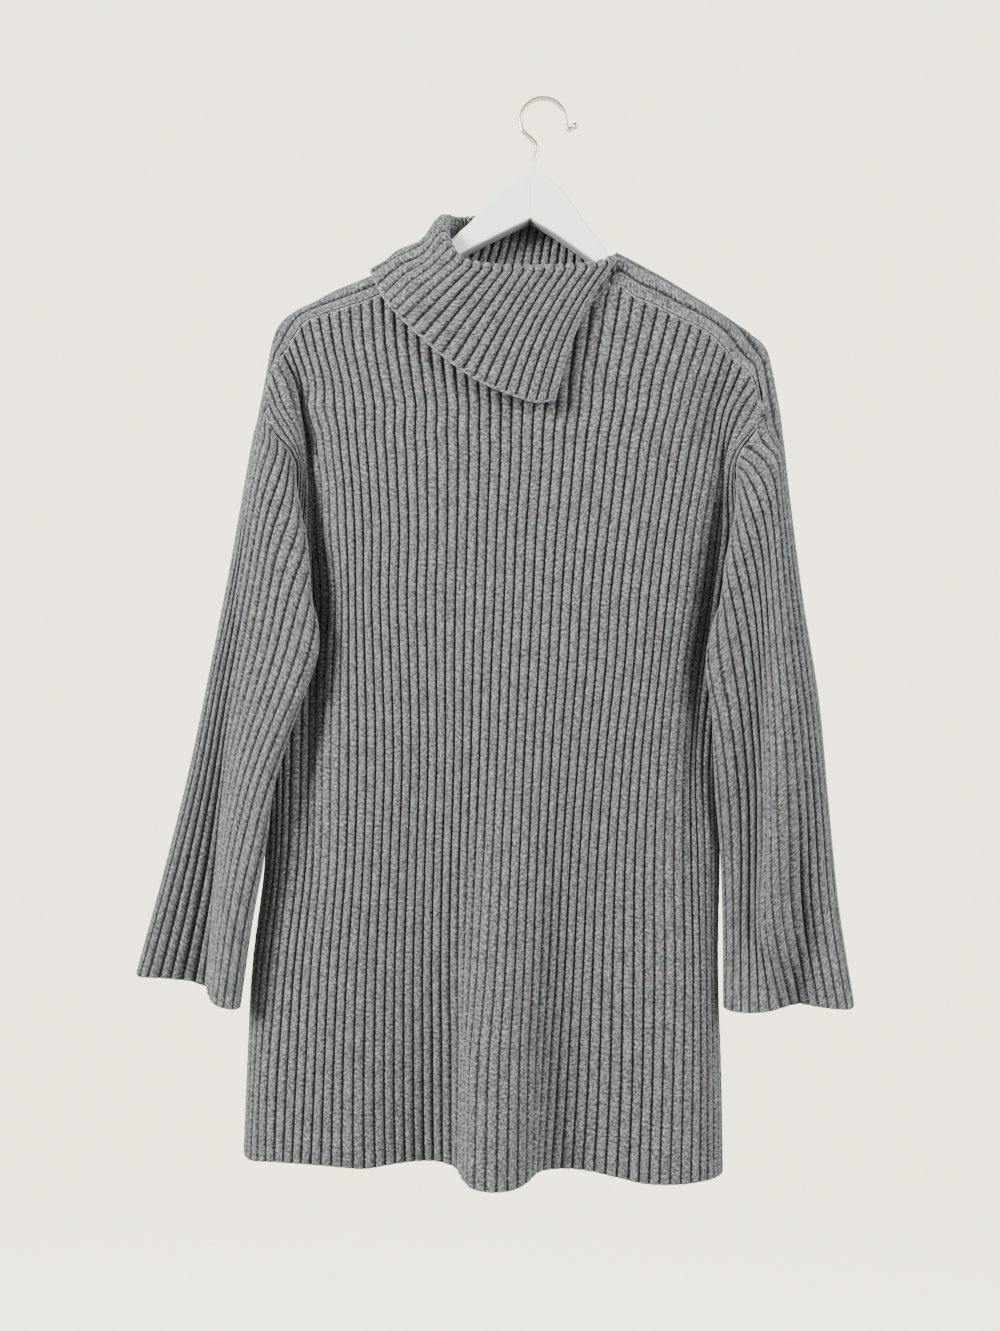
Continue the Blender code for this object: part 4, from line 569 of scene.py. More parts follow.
class Collar:
    """The collar: a band that stands on the neckline, folds over and lies on the shoulders."""

    FRONT_PART, STRAP_PART = 20.0, 27.0     # ribs sewn to the front, then to the end of the strap

    def __init__(self, front, back, sleeve):
        self.front, self.back, self.sleeve = front, back, sleeve

    def neck(self, c):
        """Where rib c is sewn on: front neckline, end of the strap, back neckline."""
        if c <= self.FRONT_PART:
            start, end = SHOULDER_LEFT[0][0] - COLLAR_INSET, SHOULDER_RIGHT[0][0]
            return self.front.edge(start + (end - start) * c / self.FRONT_PART) + np.array([0, 0, SEAM_GAP])
        if c <= self.STRAP_PART:
            over = np.interp(c, [self.FRONT_PART, self.STRAP_PART], [SADDLE_HALF, -SADDLE_HALF])
            return self.sleeve.strap(0, over) + np.array([0.5, 0, 0.7]) * SEAM_GAP
        start, end = SHOULDER_RIGHT[0][3], SHOULDER_LEFT[0][3] - COLLAR_INSET * RIB_PITCH
        x = np.interp(c, [self.STRAP_PART, RIBS_COLLAR], [start, end])
        return self.back.at(self.back.share(x), 1.0) + np.array([0, 0, SEAM_GAP])

    def section(self, c, rows):
        """Points up rib c: rows 0-1 stand from the neckline, 1-2 go round the fold, 2-3 hang."""
        rib, *numbers = np.array(COLLAR, float).T
        fold_x, fold_y, fold_z, edge_x, edge_y, edge_z = (spline(rib, n, c) for n in numbers)
        ahead, behind = (np.array([spline(rib, numbers[k], c + d) for k in (0, 1)]) for d in (1.2, -1.2))
        tangent = (ahead - behind) / np.linalg.norm(ahead - behind)
        along, out = np.array([*tangent, 0]), np.array([-tangent[1], tangent[0], 0])
        centre = np.array([fold_x, fold_y, fold_z - COLLAR_ROLL])

        def flat(p):
            return (p - centre) @ along, (p - centre) @ out, (p - centre)[2]

        def to_touch(p):
            """Angle from the direction of a point to where a line from it touches the fold."""
            return math.acos(min(COLLAR_ROLL / math.hypot(*p[1:]), 1))

        neck, edge = flat(self.neck(c)), flat(np.array([edge_x, edge_y, edge_z]))
        start = math.atan2(neck[2], neck[1]) - to_touch(neck) + 2 * math.pi
        end = math.atan2(edge[2], edge[1]) + to_touch(edge)
        start -= 2 * math.pi * (start > 1.6 * math.pi)
        points = []
        for t in rows:
            angle = start + (end - start) * min(max(t - 1, 0), 1)
            on_fold = np.array([0, COLLAR_ROLL * math.cos(angle), COLLAR_ROLL * math.sin(angle)])
            if t < 1:
                p = np.array(neck) * (1 - t) + on_fold * t
            else:
                p = on_fold + (np.array(edge) - on_fold) * max(t - 2, 0)
                p[1] += COLLAR_BULGE * math.sin(max(t - 2, 0) * math.pi)
            points.append(centre + along * p[0] + out * p[1] + np.array([0, 0, p[2]]))
        return np.array(points)

    def points(self, ribs, rows):
        return np.stack([self.section(c, rows) for c in ribs], axis=1)


def unit(vectors):
    return vectors / np.maximum(np.linalg.norm(vectors, axis=-1, keepdims=True), 1e-9)


# ---- dense cloth --------------------------------------------------------------------------
def smooth(t):
    t = np.clip(t, 0, 1)
    return t * t * (3 - 2 * t)


def rib_columns(first, last):
    """Rib coordinates of the columns between two whole ribs: the profile's points of each rib."""
    shares = np.array([s for s, _ in RIB_PROFILE])
    cols = (np.arange(first, last)[:, None] + shares[None, :]).reshape(-1)
    return np.concatenate([[first], cols, [last]])


def rib_height(rib):
    """0 in a groove, 1 on a rib, from the rib coordinate."""
    share, height = np.array(RIB_PROFILE).T
    share = np.concatenate([[0], share, [1]])
    height = np.concatenate([[0], height, [0]])
    return np.interp(np.mod(rib, 1.0), share, height)


def edge_rows(count, length, near=(1.0, 2.4)):
    """Rows from 0 to 1 with close ones near both ends; length in mm."""
    ends = np.array(near) / length
    middle = np.linspace(2 * ends[-1], 1 - 2 * ends[-1], count)
    return np.concatenate([[0], ends, middle, 1 - ends[::-1], [1]])


def neighbours(values, axis, ring=False, reach=1):
    """What lies before and after along an axis: round a ring, or with the ends repeated."""
    if ring:
        return np.roll(values, reach, axis=axis), np.roll(values, -reach, axis=axis)
    at = np.arange(values.shape[axis])
    return (np.take(values, np.maximum(at - reach, 0), axis=axis),
            np.take(values, np.minimum(at + reach, at[-1]), axis=axis))


def tree_of(points):
    tree = KDTree(len(points))
    for i, p in enumerate(points):
        tree.insert(p, i)
    tree.balance()
    return tree


def distance_to(points, line, reach):
    """Distance of each point of a grid to the nearest point of a line, up to reach."""
    tree = tree_of(line)
    low, high = line.min(axis=0) - reach, line.max(axis=0) + reach
    found = np.full(points.shape[:2], reach)
    near = ((points > low) & (points < high)).all(axis=-1)
    for r, c in np.argwhere(near):
        found[r, c] = min(tree.find(points[r, c])[2], reach)
    return found


class Knit:
    """A grid of middle points with the rib coordinate of each column."""

    def __init__(self, name, grid, ribs, ring, outward, used=None):
        self.name, self.grid, self.ring, self.outward = name, grid, ring, outward
        rows, cols = grid.shape[:2]
        self.ribs = np.broadcast_to(ribs, (rows, cols))
        self.used = np.ones((rows - 1, cols if ring else cols - 1), bool) if used is None else used
        self.relief, self.pinch, self.shallow = (np.ones((rows, cols)) for _ in range(3))
        self.seam, self.edge = np.full((rows, cols), SIGHT), np.full((rows, cols), SIGHT)
        self.turned = 1     # -1 where its outer side is the inner one of what it is sewn to
        self.measure()

    def measure(self):
        """Directions out of the cloth and the rim, from the grid as it is now."""
        rows, cols = self.grid.shape[:2]
        near, far = ((self.grid, np.roll(self.grid, -1, axis=1)) if self.ring
                     else (self.grid[:, :-1], self.grid[:, 1:]))
        cell = np.nan_to_num(np.cross(far[1:] - near[:-1], far[:-1] - near[1:])) * self.outward
        cell[~self.used] = 0
        cell = np.concatenate([unit(cell), self.used[..., None]], axis=-1)
        total = np.zeros((rows, cols + 1, 4))
        for dr in (0, 1):
            for dc in (0, 1):
                total[dr:dr + rows - 1, dc:dc + cell.shape[1]] += cell
        total[:, 0] += total[:, -1] * self.ring
        self.normal = unit(total[:, :cols, :3])
        self.count = total[:, :cols, 3]
        self.rim = (self.count > 0) & (self.count < 4)
        return self

    def soften(self, times):
        """Smooth the directions over neighbours, so that relief doesn't show the grid."""
        for _ in range(times):
            n = self.normal
            up, down = neighbours(n, 0)
            left, right = neighbours(n, 1, self.ring)
            self.normal = unit(4 * n + up + down + left + right)
        return self

    def points(self):
        return self.grid[self.count > 0], self.normal[self.count > 0]

    def lift(self, rows, supports, clear):
        """Move the points of the given rows outward until they lie on the supports."""
        before = self.grid.copy()
        points, out = (np.concatenate(a) for a in zip(*(s.points() for s in supports)))
        tree = tree_of(points)
        low, high = points.min(axis=0) - LIFT_SEARCH, points.max(axis=0) + LIFT_SEARCH
        for r in rows:
            for c in range(self.grid.shape[1]):
                p = self.grid[r, c]
                if not self.count[r, c] or (p < low).any() or (p > high).any():
                    continue
                for _ in range(3):
                    at, k, distance = tree.find(p)
                    offset = p - points[k]
                    height = offset @ out[k]
                    if -LIFT_SEARCH < height < clear and distance ** 2 - height ** 2 < BESIDE ** 2:
                        p = p + out[k] * (clear - height)
                self.grid[r, c] = p
        return np.nan_to_num(self.grid - before)

    def ease(self, moved, share, times):
        """Take moved points back in part, with the moves evened out over their neighbours."""
        before = self.grid - moved
        for _ in range(times):
            beside = sum(neighbours(moved, 1, ring=True))
            above, below = neighbours(moved, 0)
            moved = (2 * moved + beside + above + below) / 6
        self.grid = before + moved * share[..., None]

    def fade_ribs(self, line, over=SEAM_FADE):
        """Ribs die out towards a seam."""
        near = distance_to(self.grid, line, SIGHT)
        self.relief *= smooth(near / over)
        self.seam = np.minimum(self.seam, near)

    def round_edge(self, line, over=EDGE_ROUND, least=0.35):
        """The wall thins towards a free edge."""
        near = distance_to(self.grid, line, SIGHT)
        share = np.clip(near / over, 0, 1)
        self.pinch *= least + (1 - least) * np.sqrt(share * (2 - share))
        self.edge = np.minimum(self.edge, near)

    def build(self, look):
        rows, cols = self.grid.shape[:2]
        relief = self.relief * self.shallow * (1 - BEND_OPENS * smooth(self.bend() / BEND))
        height = rib_height(self.ribs) * relief
        flat = CREST * FLAT_SHARE * (1 - relief)
        outer = (GROOVE + (CREST - GROOVE) * height + flat) * self.pinch
        inner = (INNER + INNER_HOLLOW * height) * self.pinch
        kept = self.count > 0
        number = np.full((rows, cols), -1)
        number[kept] = np.arange(kept.sum())
        total = int(kept.sum())
        verts = np.concatenate([(self.grid + self.normal * outer[..., None])[kept],
                                (self.grid + self.normal * inner[..., None])[kept]]) * MM
        next_col = np.roll(number, -1, axis=1) if self.ring else number[:, 1:]
        this_col = number if self.ring else number[:, :-1]
        a, b, c, d = this_col[:-1], next_col[:-1], next_col[1:], this_col[1:]
        quads = np.stack([a, b, c, d], axis=-1)[self.used]
        faces = np.concatenate([quads, quads[:, ::-1] + total])
        edges = np.concatenate([quads[:, [k, (k + 1) % 4]] for k in range(4)])
        key = {(int(p), int(q)) for p, q in edges}
        rim = np.array([(p, q) for p, q in edges if (int(q), int(p)) not in key])
        band = np.stack([rim[:, 1], rim[:, 0], rim[:, 0] + total, rim[:, 1] + total], axis=1)
        faces = np.concatenate([faces, band])
        if self.outward > 0:    # the grid's own turn runs against the outward side
            faces = faces[:, ::-1]
        mesh = bpy.data.meshes.new(self.name)
        mesh.from_pydata(verts.tolist(), [], faces.tolist())
        mesh.polygons.foreach_set("use_smooth", np.ones(len(mesh.polygons), bool))
        steps = np.linalg.norm(np.nan_to_num(np.diff(self.grid, axis=0)), axis=2)
        along = np.concatenate([np.zeros((1, cols)), np.cumsum(steps, axis=0)])
        # the third value marks the grooves, where the knit material paints shade
        groove = self.relief * (1 - rib_height(self.ribs))
        knit = np.stack([self.ribs * RIB_PITCH, along, 1 - groove], axis=-1)[kept]
        sewn = np.stack([self.seam, self.edge, 0 * along], axis=-1)[kept]
        for name, values, inside in (("knit", knit, knit * (-1, 1, 1)), ("sewn", sewn, sewn + (0, 0, 1))):
            values = np.concatenate([values, inside]).astype(np.float32)
            mesh.attributes.new(name, "FLOAT_VECTOR", "POINT").data.foreach_set("vector", values.ravel())
        mesh.materials.append(look)
        obj = bpy.data.objects.new(self.name, mesh)
        bpy.context.scene.collection.objects.link(obj)
        return obj

    def bend(self):
        """How far each point stands out of the line between its neighbours two ribs away."""
        sides = sum(neighbours(self.grid, 1, self.ring, 2 * len(RIB_PROFILE)))
        return np.nan_to_num(((self.grid - sides / 2) * self.normal).sum(axis=-1))


def sew(pieces):
    """Edges that are sewn together share one wall direction, and the cloth turns to it smoothly."""
    rims = [(p.grid[p.rim], p.normal[p.rim] * p.turned) for p in pieces]
    trees = [tree_of(points) for points, _ in rims]
    for i, piece in enumerate(pieces):
        points, directions = rims[i]
        shared = directions.copy()
        met = np.zeros(len(points), bool)
        for j, (tree, (_, others)) in enumerate(zip(trees, rims)):
            if j == i:
                continue
            for k, p in enumerate(points):
                _, at, distance = tree.find(p)
                if distance < SEAM_GAP * 4:
                    shared[k] += others[at]
                    met[k] = True
        if not met.any():
            continue
        line, turned = points[met], unit(shared[met]) * piece.turned
        near = tree_of(line)
        low, high = line.min(axis=0) - TURN_FADE, line.max(axis=0) + TURN_FADE
        inside = (piece.grid > low).all(axis=-1) & (piece.grid < high).all(axis=-1) & (piece.count > 0)
        for r, c in np.argwhere(inside):
            _, k, distance = near.find(piece.grid[r, c])
            share = 1 - smooth(distance / TURN_FADE)
            if share > 0:
                piece.normal[r, c] = piece.normal[r, c] * (1 - share) + turned[k] * share
        piece.normal = unit(piece.normal)


def slide_ribs(grid, cols, strap_shares, rows):
    """Shift the ribs round a sleeve, so that they lie over the shoulder as they were pulled."""
    over = np.where(cols > RIBS_SLEEVE / 2, cols - RIBS_SLEEVE, cols)
    order = np.argsort(over)
    table = np.array(RIB_SLIDE, float).T
    along, at_end, below = (np.interp(over, table[0], slide) for slide in table[1:])
    strap = len(strap_shares)
    for r in range(len(grid)):
        if r < strap:
            share = smooth(strap_shares[r] * 2 - 1)
            slide = along * (1 - share) + at_end * share
        else:
            share = smooth(rows[r - strap] / SLIDE_LEFT[0][0])
            slide = at_end * (1 - share) + below * share * np.interp(rows[r - strap], *np.array(SLIDE_LEFT).T)
        held = order[~np.isnan(grid[r, order, 0])]
        period = RIBS_SLEEVE if len(held) == len(cols) else None
        at = over[held] + slide[held]
        moved = [np.interp(at, over[held], grid[r, held, k], period=period) for k in range(3)]
        grid[r, held] = np.stack(moved, axis=-1)
    return grid


def deepen(grid, ribs):
    """The hollows beside the arms are deeper than in the solids, and their edges lean over them."""
    span = np.interp(grid[..., 2], *np.array(VALLEY_SPAN, float).T)
    for middle, half, deeper, lean in VALLEYS:
        inner = 1 if lean > 0 else -1
        grid[..., 1] += deeper * span * np.exp(-((ribs - middle) / half) ** 2)
        edge = (ribs - middle + LEAN_BESIDE * inner) / (LEAN_WIDTH * half)
        grid[..., 0] += lean * span * np.exp(-edge ** 2)


def draw_in(grid, ribs, rows):
    """The collar's open edge and its side over the strap hang in a hollow curve."""
    hanging = np.clip(rows - 2, 0, 1)
    slit = SLIT_HOLLOW * smooth(1 - ribs / SLIT_RIBS) * np.sin(np.pi * hanging ** 0.9)[:, None]
    bow = np.sin(np.pi * np.clip(hanging / SIDE_SHARE, 0, 1))[:, None] ** 1.5
    start, end = SIDE_RIBS
    side = SIDE_HOLLOW * smooth((ribs - start) / SIDE_EASE) * smooth((end - ribs) / SIDE_EASE) * bow
    grid += slit[..., None] * np.array([-1, 0, 0]) + side[..., None] * np.array(SIDE_WAY)


def elbow(grid, rows):
    """The right sleeve's inner edge swings towards the body at the elbow."""
    below = grid[rows:]
    height, swing, spread, reach = ELBOW
    near = smooth((below[..., 0] - below[..., 0].max(axis=1, keepdims=True)) / reach + 1)
    below[..., 0] += swing * near * np.exp(-((below[..., 2] - height) / spread) ** 2)


def relax(grid, rows, c, weight, times):
    """Even out one column of a grid over the given rows."""
    held = weight > 0
    for _ in range(times):
        middle = (grid[rows - 1, c] + grid[rows + 1, c]) / 2
        grid[rows[held], c] += (weight[:, None] * (middle - grid[rows, c]))[held] * EASE_STEP


def even_out(grid, strap, over):
    """The end of the strap runs into the sleeve without a crease; what is sewn stays in place."""
    rows = np.arange(strap + STRAP_ROWS[0], strap + STRAP_ROWS[1])
    along = smooth((rows - rows[0]) / 8) * smooth((rows[-1] - rows) / 10)
    for c in np.flatnonzero((over > -STRAP_BEHIND) & (over < SADDLE_HALF)):
        if abs(over[c]) < SADDLE_HALF:
            weight = along * smooth((SADDLE_HALF - abs(over[c])) / 0.6)
        else:
            weight = along * smooth((over[c] + STRAP_BEHIND) / 3) * (rows > strap)
        relax(grid, rows, c, weight, STRAP_PASSES)


def run_straight(grid, strap, over):
    """The ribs run straight down the sleeve's front."""
    rows = np.arange(strap + STRAIGHT_ROWS[0], strap + STRAIGHT_ROWS[1])
    along = smooth((rows - rows[0]) / 10) * smooth((rows[-1] - rows) / 10)
    for c in np.flatnonzero((over > SADDLE_HALF) & (over < STRAIGHT_TO)):
        weight = along * smooth((over[c] - SADDLE_HALF) / 2) * smooth((STRAIGHT_TO - over[c]) / 2)
        relax(grid, rows, c, weight, STRAIGHT_PASSES)


def front_panel(front):
    """Every column follows one rib from the hem to the shoulder, neck or armhole."""
    ribs = rib_columns(0, RIBS_FRONT)
    top = from_table(FRONT_TOP, ribs)
    hem = HEM_AT_RIGHT_SEAM + (HEM_AT_LEFT_SEAM - HEM_AT_RIGHT_SEAM) * ribs / RIBS_FRONT
    hem = hem + from_table(HEM_LIFT, ribs)
    rows = edge_rows(*FRONT_ROWS)
    grid = front.place(ribs[None, :], hem + (top - hem) * rows[:, None])
    deepen(grid, ribs)
    return Knit("front", grid, ribs, False, -1)


def back_panel(back):
    ribs = rib_columns(0, RIBS_FRONT)
    rows = edge_rows(*BACK_ROWS)
    return Knit("back", back.at(ribs[None, :] / RIBS_FRONT, rows[:, None]), ribs, False, 1)


def sleeve_columns():
    """Rib coordinates round a sleeve, with a column on each edge of the strap."""
    around = np.mod(rib_columns(0, RIBS_SLEEVE)[:-1] - 0.5, RIBS_SLEEVE)
    around = np.append(around, [SADDLE_HALF, RIBS_SLEEVE - SADDLE_HALF])
    return np.sort(np.unique(np.round(around, 4)))


def sleeve_tube(name, sleeve, around, front_cloth):
    """A sleeve with its strap, which is lifted off the front where it lies on it."""
    rows = np.concatenate([np.linspace(0, 0.25, 36), np.linspace(0.25, 0.99, 76)[1:],
                           [0.994, 0.997, 0.9985, 1]])
    stations = np.linspace(0, len(sleeve.shoulder) - 1, STRAP_STEPS)[:-1]
    grid = slide_ribs(sleeve.points(around, stations, rows), around, stations / stations[-1], rows)
    if name == "sleeve_right":
        elbow(grid, len(stations))
    tuck = np.array([-sleeve.sign * 0.8, 0, -0.6]) * STRAP_TUCK
    grid = np.concatenate([[grid[0] + tuck, grid[0] + tuck / 2], grid])
    strap = len(stations) + 2
    used = np.ones((len(grid) - 1, len(around)), bool)
    used[:strap] = (around < SADDLE_HALF) | (around >= RIBS_SLEEVE - SADDLE_HALF)
    cloth = Knit(name, grid, around + 0.5, True, -sleeve.sign, used)
    over = np.where(around > RIBS_SLEEVE / 2, around - RIBS_SLEEVE, around)
    moved = cloth.lift(range(strap + 1, strap + LIFT_ROWS), [front_cloth], LAID_CLEAR)
    below = np.clip(np.arange(len(grid)) - strap, 0, None)
    cloth.ease(moved, smooth(below / LIFT_EASE)[:, None] * smooth((over - 2) / 2)[None, :], 14)
    even_out(cloth.grid, strap, over)
    run_straight(cloth.grid, strap, over)
    cloth.measure()
    cloth.strap = strap
    return cloth


def collar_band(collar, supports):
    """The folded collar, lifted off what it lies on."""
    cols = rib_columns(0, RIBS_COLLAR)
    rows = np.concatenate([np.linspace(0, 1, STAND_ROWS), np.linspace(1, 2, 17)[1:],
                           np.linspace(2, 2.97, 60)[1:], [2.98, 2.99, 3]])
    grid = collar.points(cols, rows)
    draw_in(grid, cols, rows)
    cloth = Knit("collar", grid, cols, False, -1)
    cloth.lift(range(STAND_ROWS + 8, len(rows)), supports, COLLAR_CLEAR)
    cloth.measure()
    cloth.turned = -1
    return cloth


def finish_panel(piece):
    """Ribs die out at the top seam, the hem is rounded."""
    piece.fade_ribs(piece.grid[-1])
    piece.round_edge(piece.grid[0])


def finish_sleeve(piece, around):
    """Flatter ribs on the strap, ribs that die out at its seams and the armhole, a rounded cuff."""
    on_strap = (around < SADDLE_HALF) | (around > RIBS_SLEEVE - SADDLE_HALF)
    edges = [int(np.argmin(abs(around - q))) for q in (SADDLE_HALF, RIBS_SLEEVE - SADDLE_HALF)]
    below = np.arange(len(piece.grid)) - piece.strap
    piece.shallow *= STRAP_RELIEF + (1 - STRAP_RELIEF) * smooth(below / 8)[:, None]
    piece.fade_ribs(np.concatenate([piece.grid[piece.strap][~on_strap],
                                    *(piece.grid[:piece.strap, c] for c in edges)]))
    piece.round_edge(piece.grid[-1])


def finish_collar(piece):
    """Ribs die out at the neck and just short of the free edges, which are rounded."""
    piece.fade_ribs(piece.grid[0])
    piece.round_edge(np.concatenate([piece.grid[-1], piece.grid[:, 0], piece.grid[:, -1]]))
    piece.relief *= smooth((piece.edge - 0.8) / 2.6)


def make_cloth(look):
    front = Front()
    back = Back(front)
    right = Sleeve(front, back, SHOULDER_RIGHT, SLEEVE_RIGHT, 0)
    left = Sleeve(front, back, SHOULDER_LEFT, SLEEVE_LEFT, 1)
    front_cloth, back_cloth = front_panel(front), back_panel(back)
    around = sleeve_columns()
    sleeves = [sleeve_tube("sleeve_right", right, around, front_cloth),
               sleeve_tube("sleeve_left", left, around, front_cloth)]
    collar_cloth = collar_band(Collar(front, back, right), [front_cloth, back_cloth, *sleeves])
    pieces = [front_cloth, back_cloth, *sleeves, collar_cloth]
    for piece in pieces:
        piece.soften(3)
    sew(pieces)
    for piece in (front_cloth, back_cloth):
        finish_panel(piece)
    for piece in sleeves:
        finish_sleeve(piece, around)
    finish_collar(collar_cloth)
    return {piece.name: piece.build(look) for piece in pieces}


# ---- hanger -------------------------------------------------------------------------------
def mesh_object(name, verts, faces, look):
    mesh = bpy.data.meshes.new(name)
    mesh.from_pydata((np.array(verts) * MM).tolist(), [], faces)
    mesh.polygons.foreach_set("use_smooth", np.ones(len(mesh.polygons), bool))
    mesh.materials.append(look)
    obj = bpy.data.objects.new(name, mesh)
    bpy.context.scene.collection.objects.link(obj)
    return obj


def ring_faces(rings, sides, capped=True):
    """Faces between rings of points, and one over each end."""
    faces = []
    for low in range(0, (rings - 1) * sides, sides):
        for i in range(sides):
            after = (i + 1) % sides
            faces.append([low + i, low + after, low + sides + after, low + sides + i])
    if capped:
        faces += [list(range(sides))[::-1], list(range((rings - 1) * sides, rings * sides))]
    return faces


def hanger_wood(look):
    """A flat board, its edges rounded over all round."""
    outline = np.array(HANGER, float)
    for shoulder in (SHOULDER_RIGHT, SHOULDER_LEFT):
        ridge = np.array(sorted(s[1:3] for s in shoulder[:CORNER + 1]))
        below = np.interp(outline[:, 0], *ridge.T, left=np.nan, right=np.nan) - outline[:, 1]
        upper = below < HANGER_THICK
        outline[upper, 1] += below[upper] - SADDLE_INSET - WALL / 2 - HANGER_CLEAR
    knots = np.arange(len(outline))
    apex = int(np.argmin(np.abs(outline - HANGER_APEX).sum(axis=1)))
    fine = np.linspace(0, len(outline), 6 * len(outline), endpoint=False)
    curve = round_spline(knots, outline, fine, len(outline))
    straight = [np.interp(fine, knots, outline[:, k], period=len(outline)) for k in (0, 1)]
    straight = np.stack(straight, axis=1)
    sharp = np.exp(-((fine - apex) / 1.5) ** 2)[:, None]
    curve = curve * (1 - sharp) + straight * sharp
    tangent = unit(np.roll(curve, -1, axis=0) - np.roll(curve, 1, axis=0))
    inward = np.stack([-tangent[:, 1], tangent[:, 0]], axis=1)
    half, steps = HANGER_THICK / 2, np.radians(np.linspace(0, 90, 6))
    layers = [(-half + HANGER_EDGE * (1 - math.cos(a)), HANGER_EDGE * (1 - math.sin(a))) for a in steps]
    layers += [(-y, deep) for y, deep in layers[::-1]]
    face_edge = HANGER_EDGE + 0.6       # a ring just inside each flat face keeps it flat
    layers = [(-half, face_edge)] + layers + [(half, face_edge)]
    verts = []
    for y, deep in layers:
        verts += [(x, y, z) for x, z in curve + inward * deep]
    faces = ring_faces(len(layers), len(curve))
    return mesh_object("hanger_board", verts, faces, look)


def hanger_hook(look):
    """Bent wire from the wood up round the hook to a small ball at its end."""
    crown = HANGER[0]
    centre = -HOOK_RADIUS + HOOK_WIRE / 2
    stem = [(crown[0], crown[1] - 12), crown, *HOOK_STEM]
    turn = np.radians(np.linspace(*HOOK_BOW, 16))
    bow = [(HOOK_RADIUS * math.cos(a), centre + HOOK_RADIUS * math.sin(a)) for a in turn]
    knots = np.array(stem + bow[:-1] + list(HOOK_TIP))
    path = spline(np.arange(len(knots)), knots, np.linspace(0, len(knots) - 1, 200))
    tangent = unit(np.gradient(path, axis=0))
    rings = [(p, t, HOOK_WIRE / 2) for p, t in zip(path, tangent)]
    for a in np.radians(np.linspace(-48, 86, 14)):
        middle = path[-1] + tangent[-1] * HOOK_BALL * (0.8 + math.sin(a))
        rings.append((middle, tangent[-1], HOOK_BALL * math.cos(a)))
    sides = 28
    around = [(math.cos(a), math.sin(a)) for a in np.arange(sides) / sides * 2 * math.pi]
    verts = [(p[0] - t[1] * c * r, s * r, p[1] + t[0] * c * r) for p, t, r in rings for c, s in around]
    faces = ring_faces(len(rings), sides)
    return mesh_object("hanger_wire", verts, faces, look)


# ---- materials ----------------------------------------------------------------------------
class Nodes:
    """Short words for building a material's nodes."""

    def __init__(self, name):
        self.material = bpy.data.materials.new(name)
        self.material.use_nodes = True
        self.tree = self.material.node_tree
        self.shader = self.tree.nodes["Principled BSDF"]

    def put(self, kind, values=(), **settings):
        node = self.tree.nodes.new(kind)
        for key, value in settings.items():
            setattr(node, key, value)
        for socket, value in dict(values).items():
            self.feed(node.inputs[socket], value)
        return node

    def feed(self, socket, value):
        if isinstance(value, bpy.types.NodeSocket):
            self.tree.links.new(value, socket)
        else:
            socket.default_value = value

    def math(self, operation, a, b=0.0):
        return self.put("ShaderNodeMath", {0: a, 1: b}, operation=operation).outputs[0]

    def times(self, a, b):
        return self.math("MULTIPLY", a, b)

    def plus(self, a, b):
        return self.math("ADD", a, b)

    def fit(self, value, low, high, to_low=0.0, to_high=1.0):
        node = self.put("ShaderNodeMapRange", {"Value": value, "From Min": low, "From Max": high,
                                               "To Min": to_low, "To Max": to_high})
        return node.outputs[0]

    def noise(self, vector, scale, detail=2.0, roughness=0.5, colour=False):
        node = self.put("ShaderNodeTexNoise", {"Vector": vector, "Scale": scale, "Detail": detail,
                                               "Roughness": roughness})
        return node.outputs["Color" if colour else "Fac"]

    def mix(self, share, a, b, blend="MIX"):
        node = self.put("ShaderNodeMix", data_type="RGBA", blend_type=blend)
        for socket, value in ((0, share), (6, a), (7, b)):
            self.feed(node.inputs[socket], value)
        return node.outputs[2]


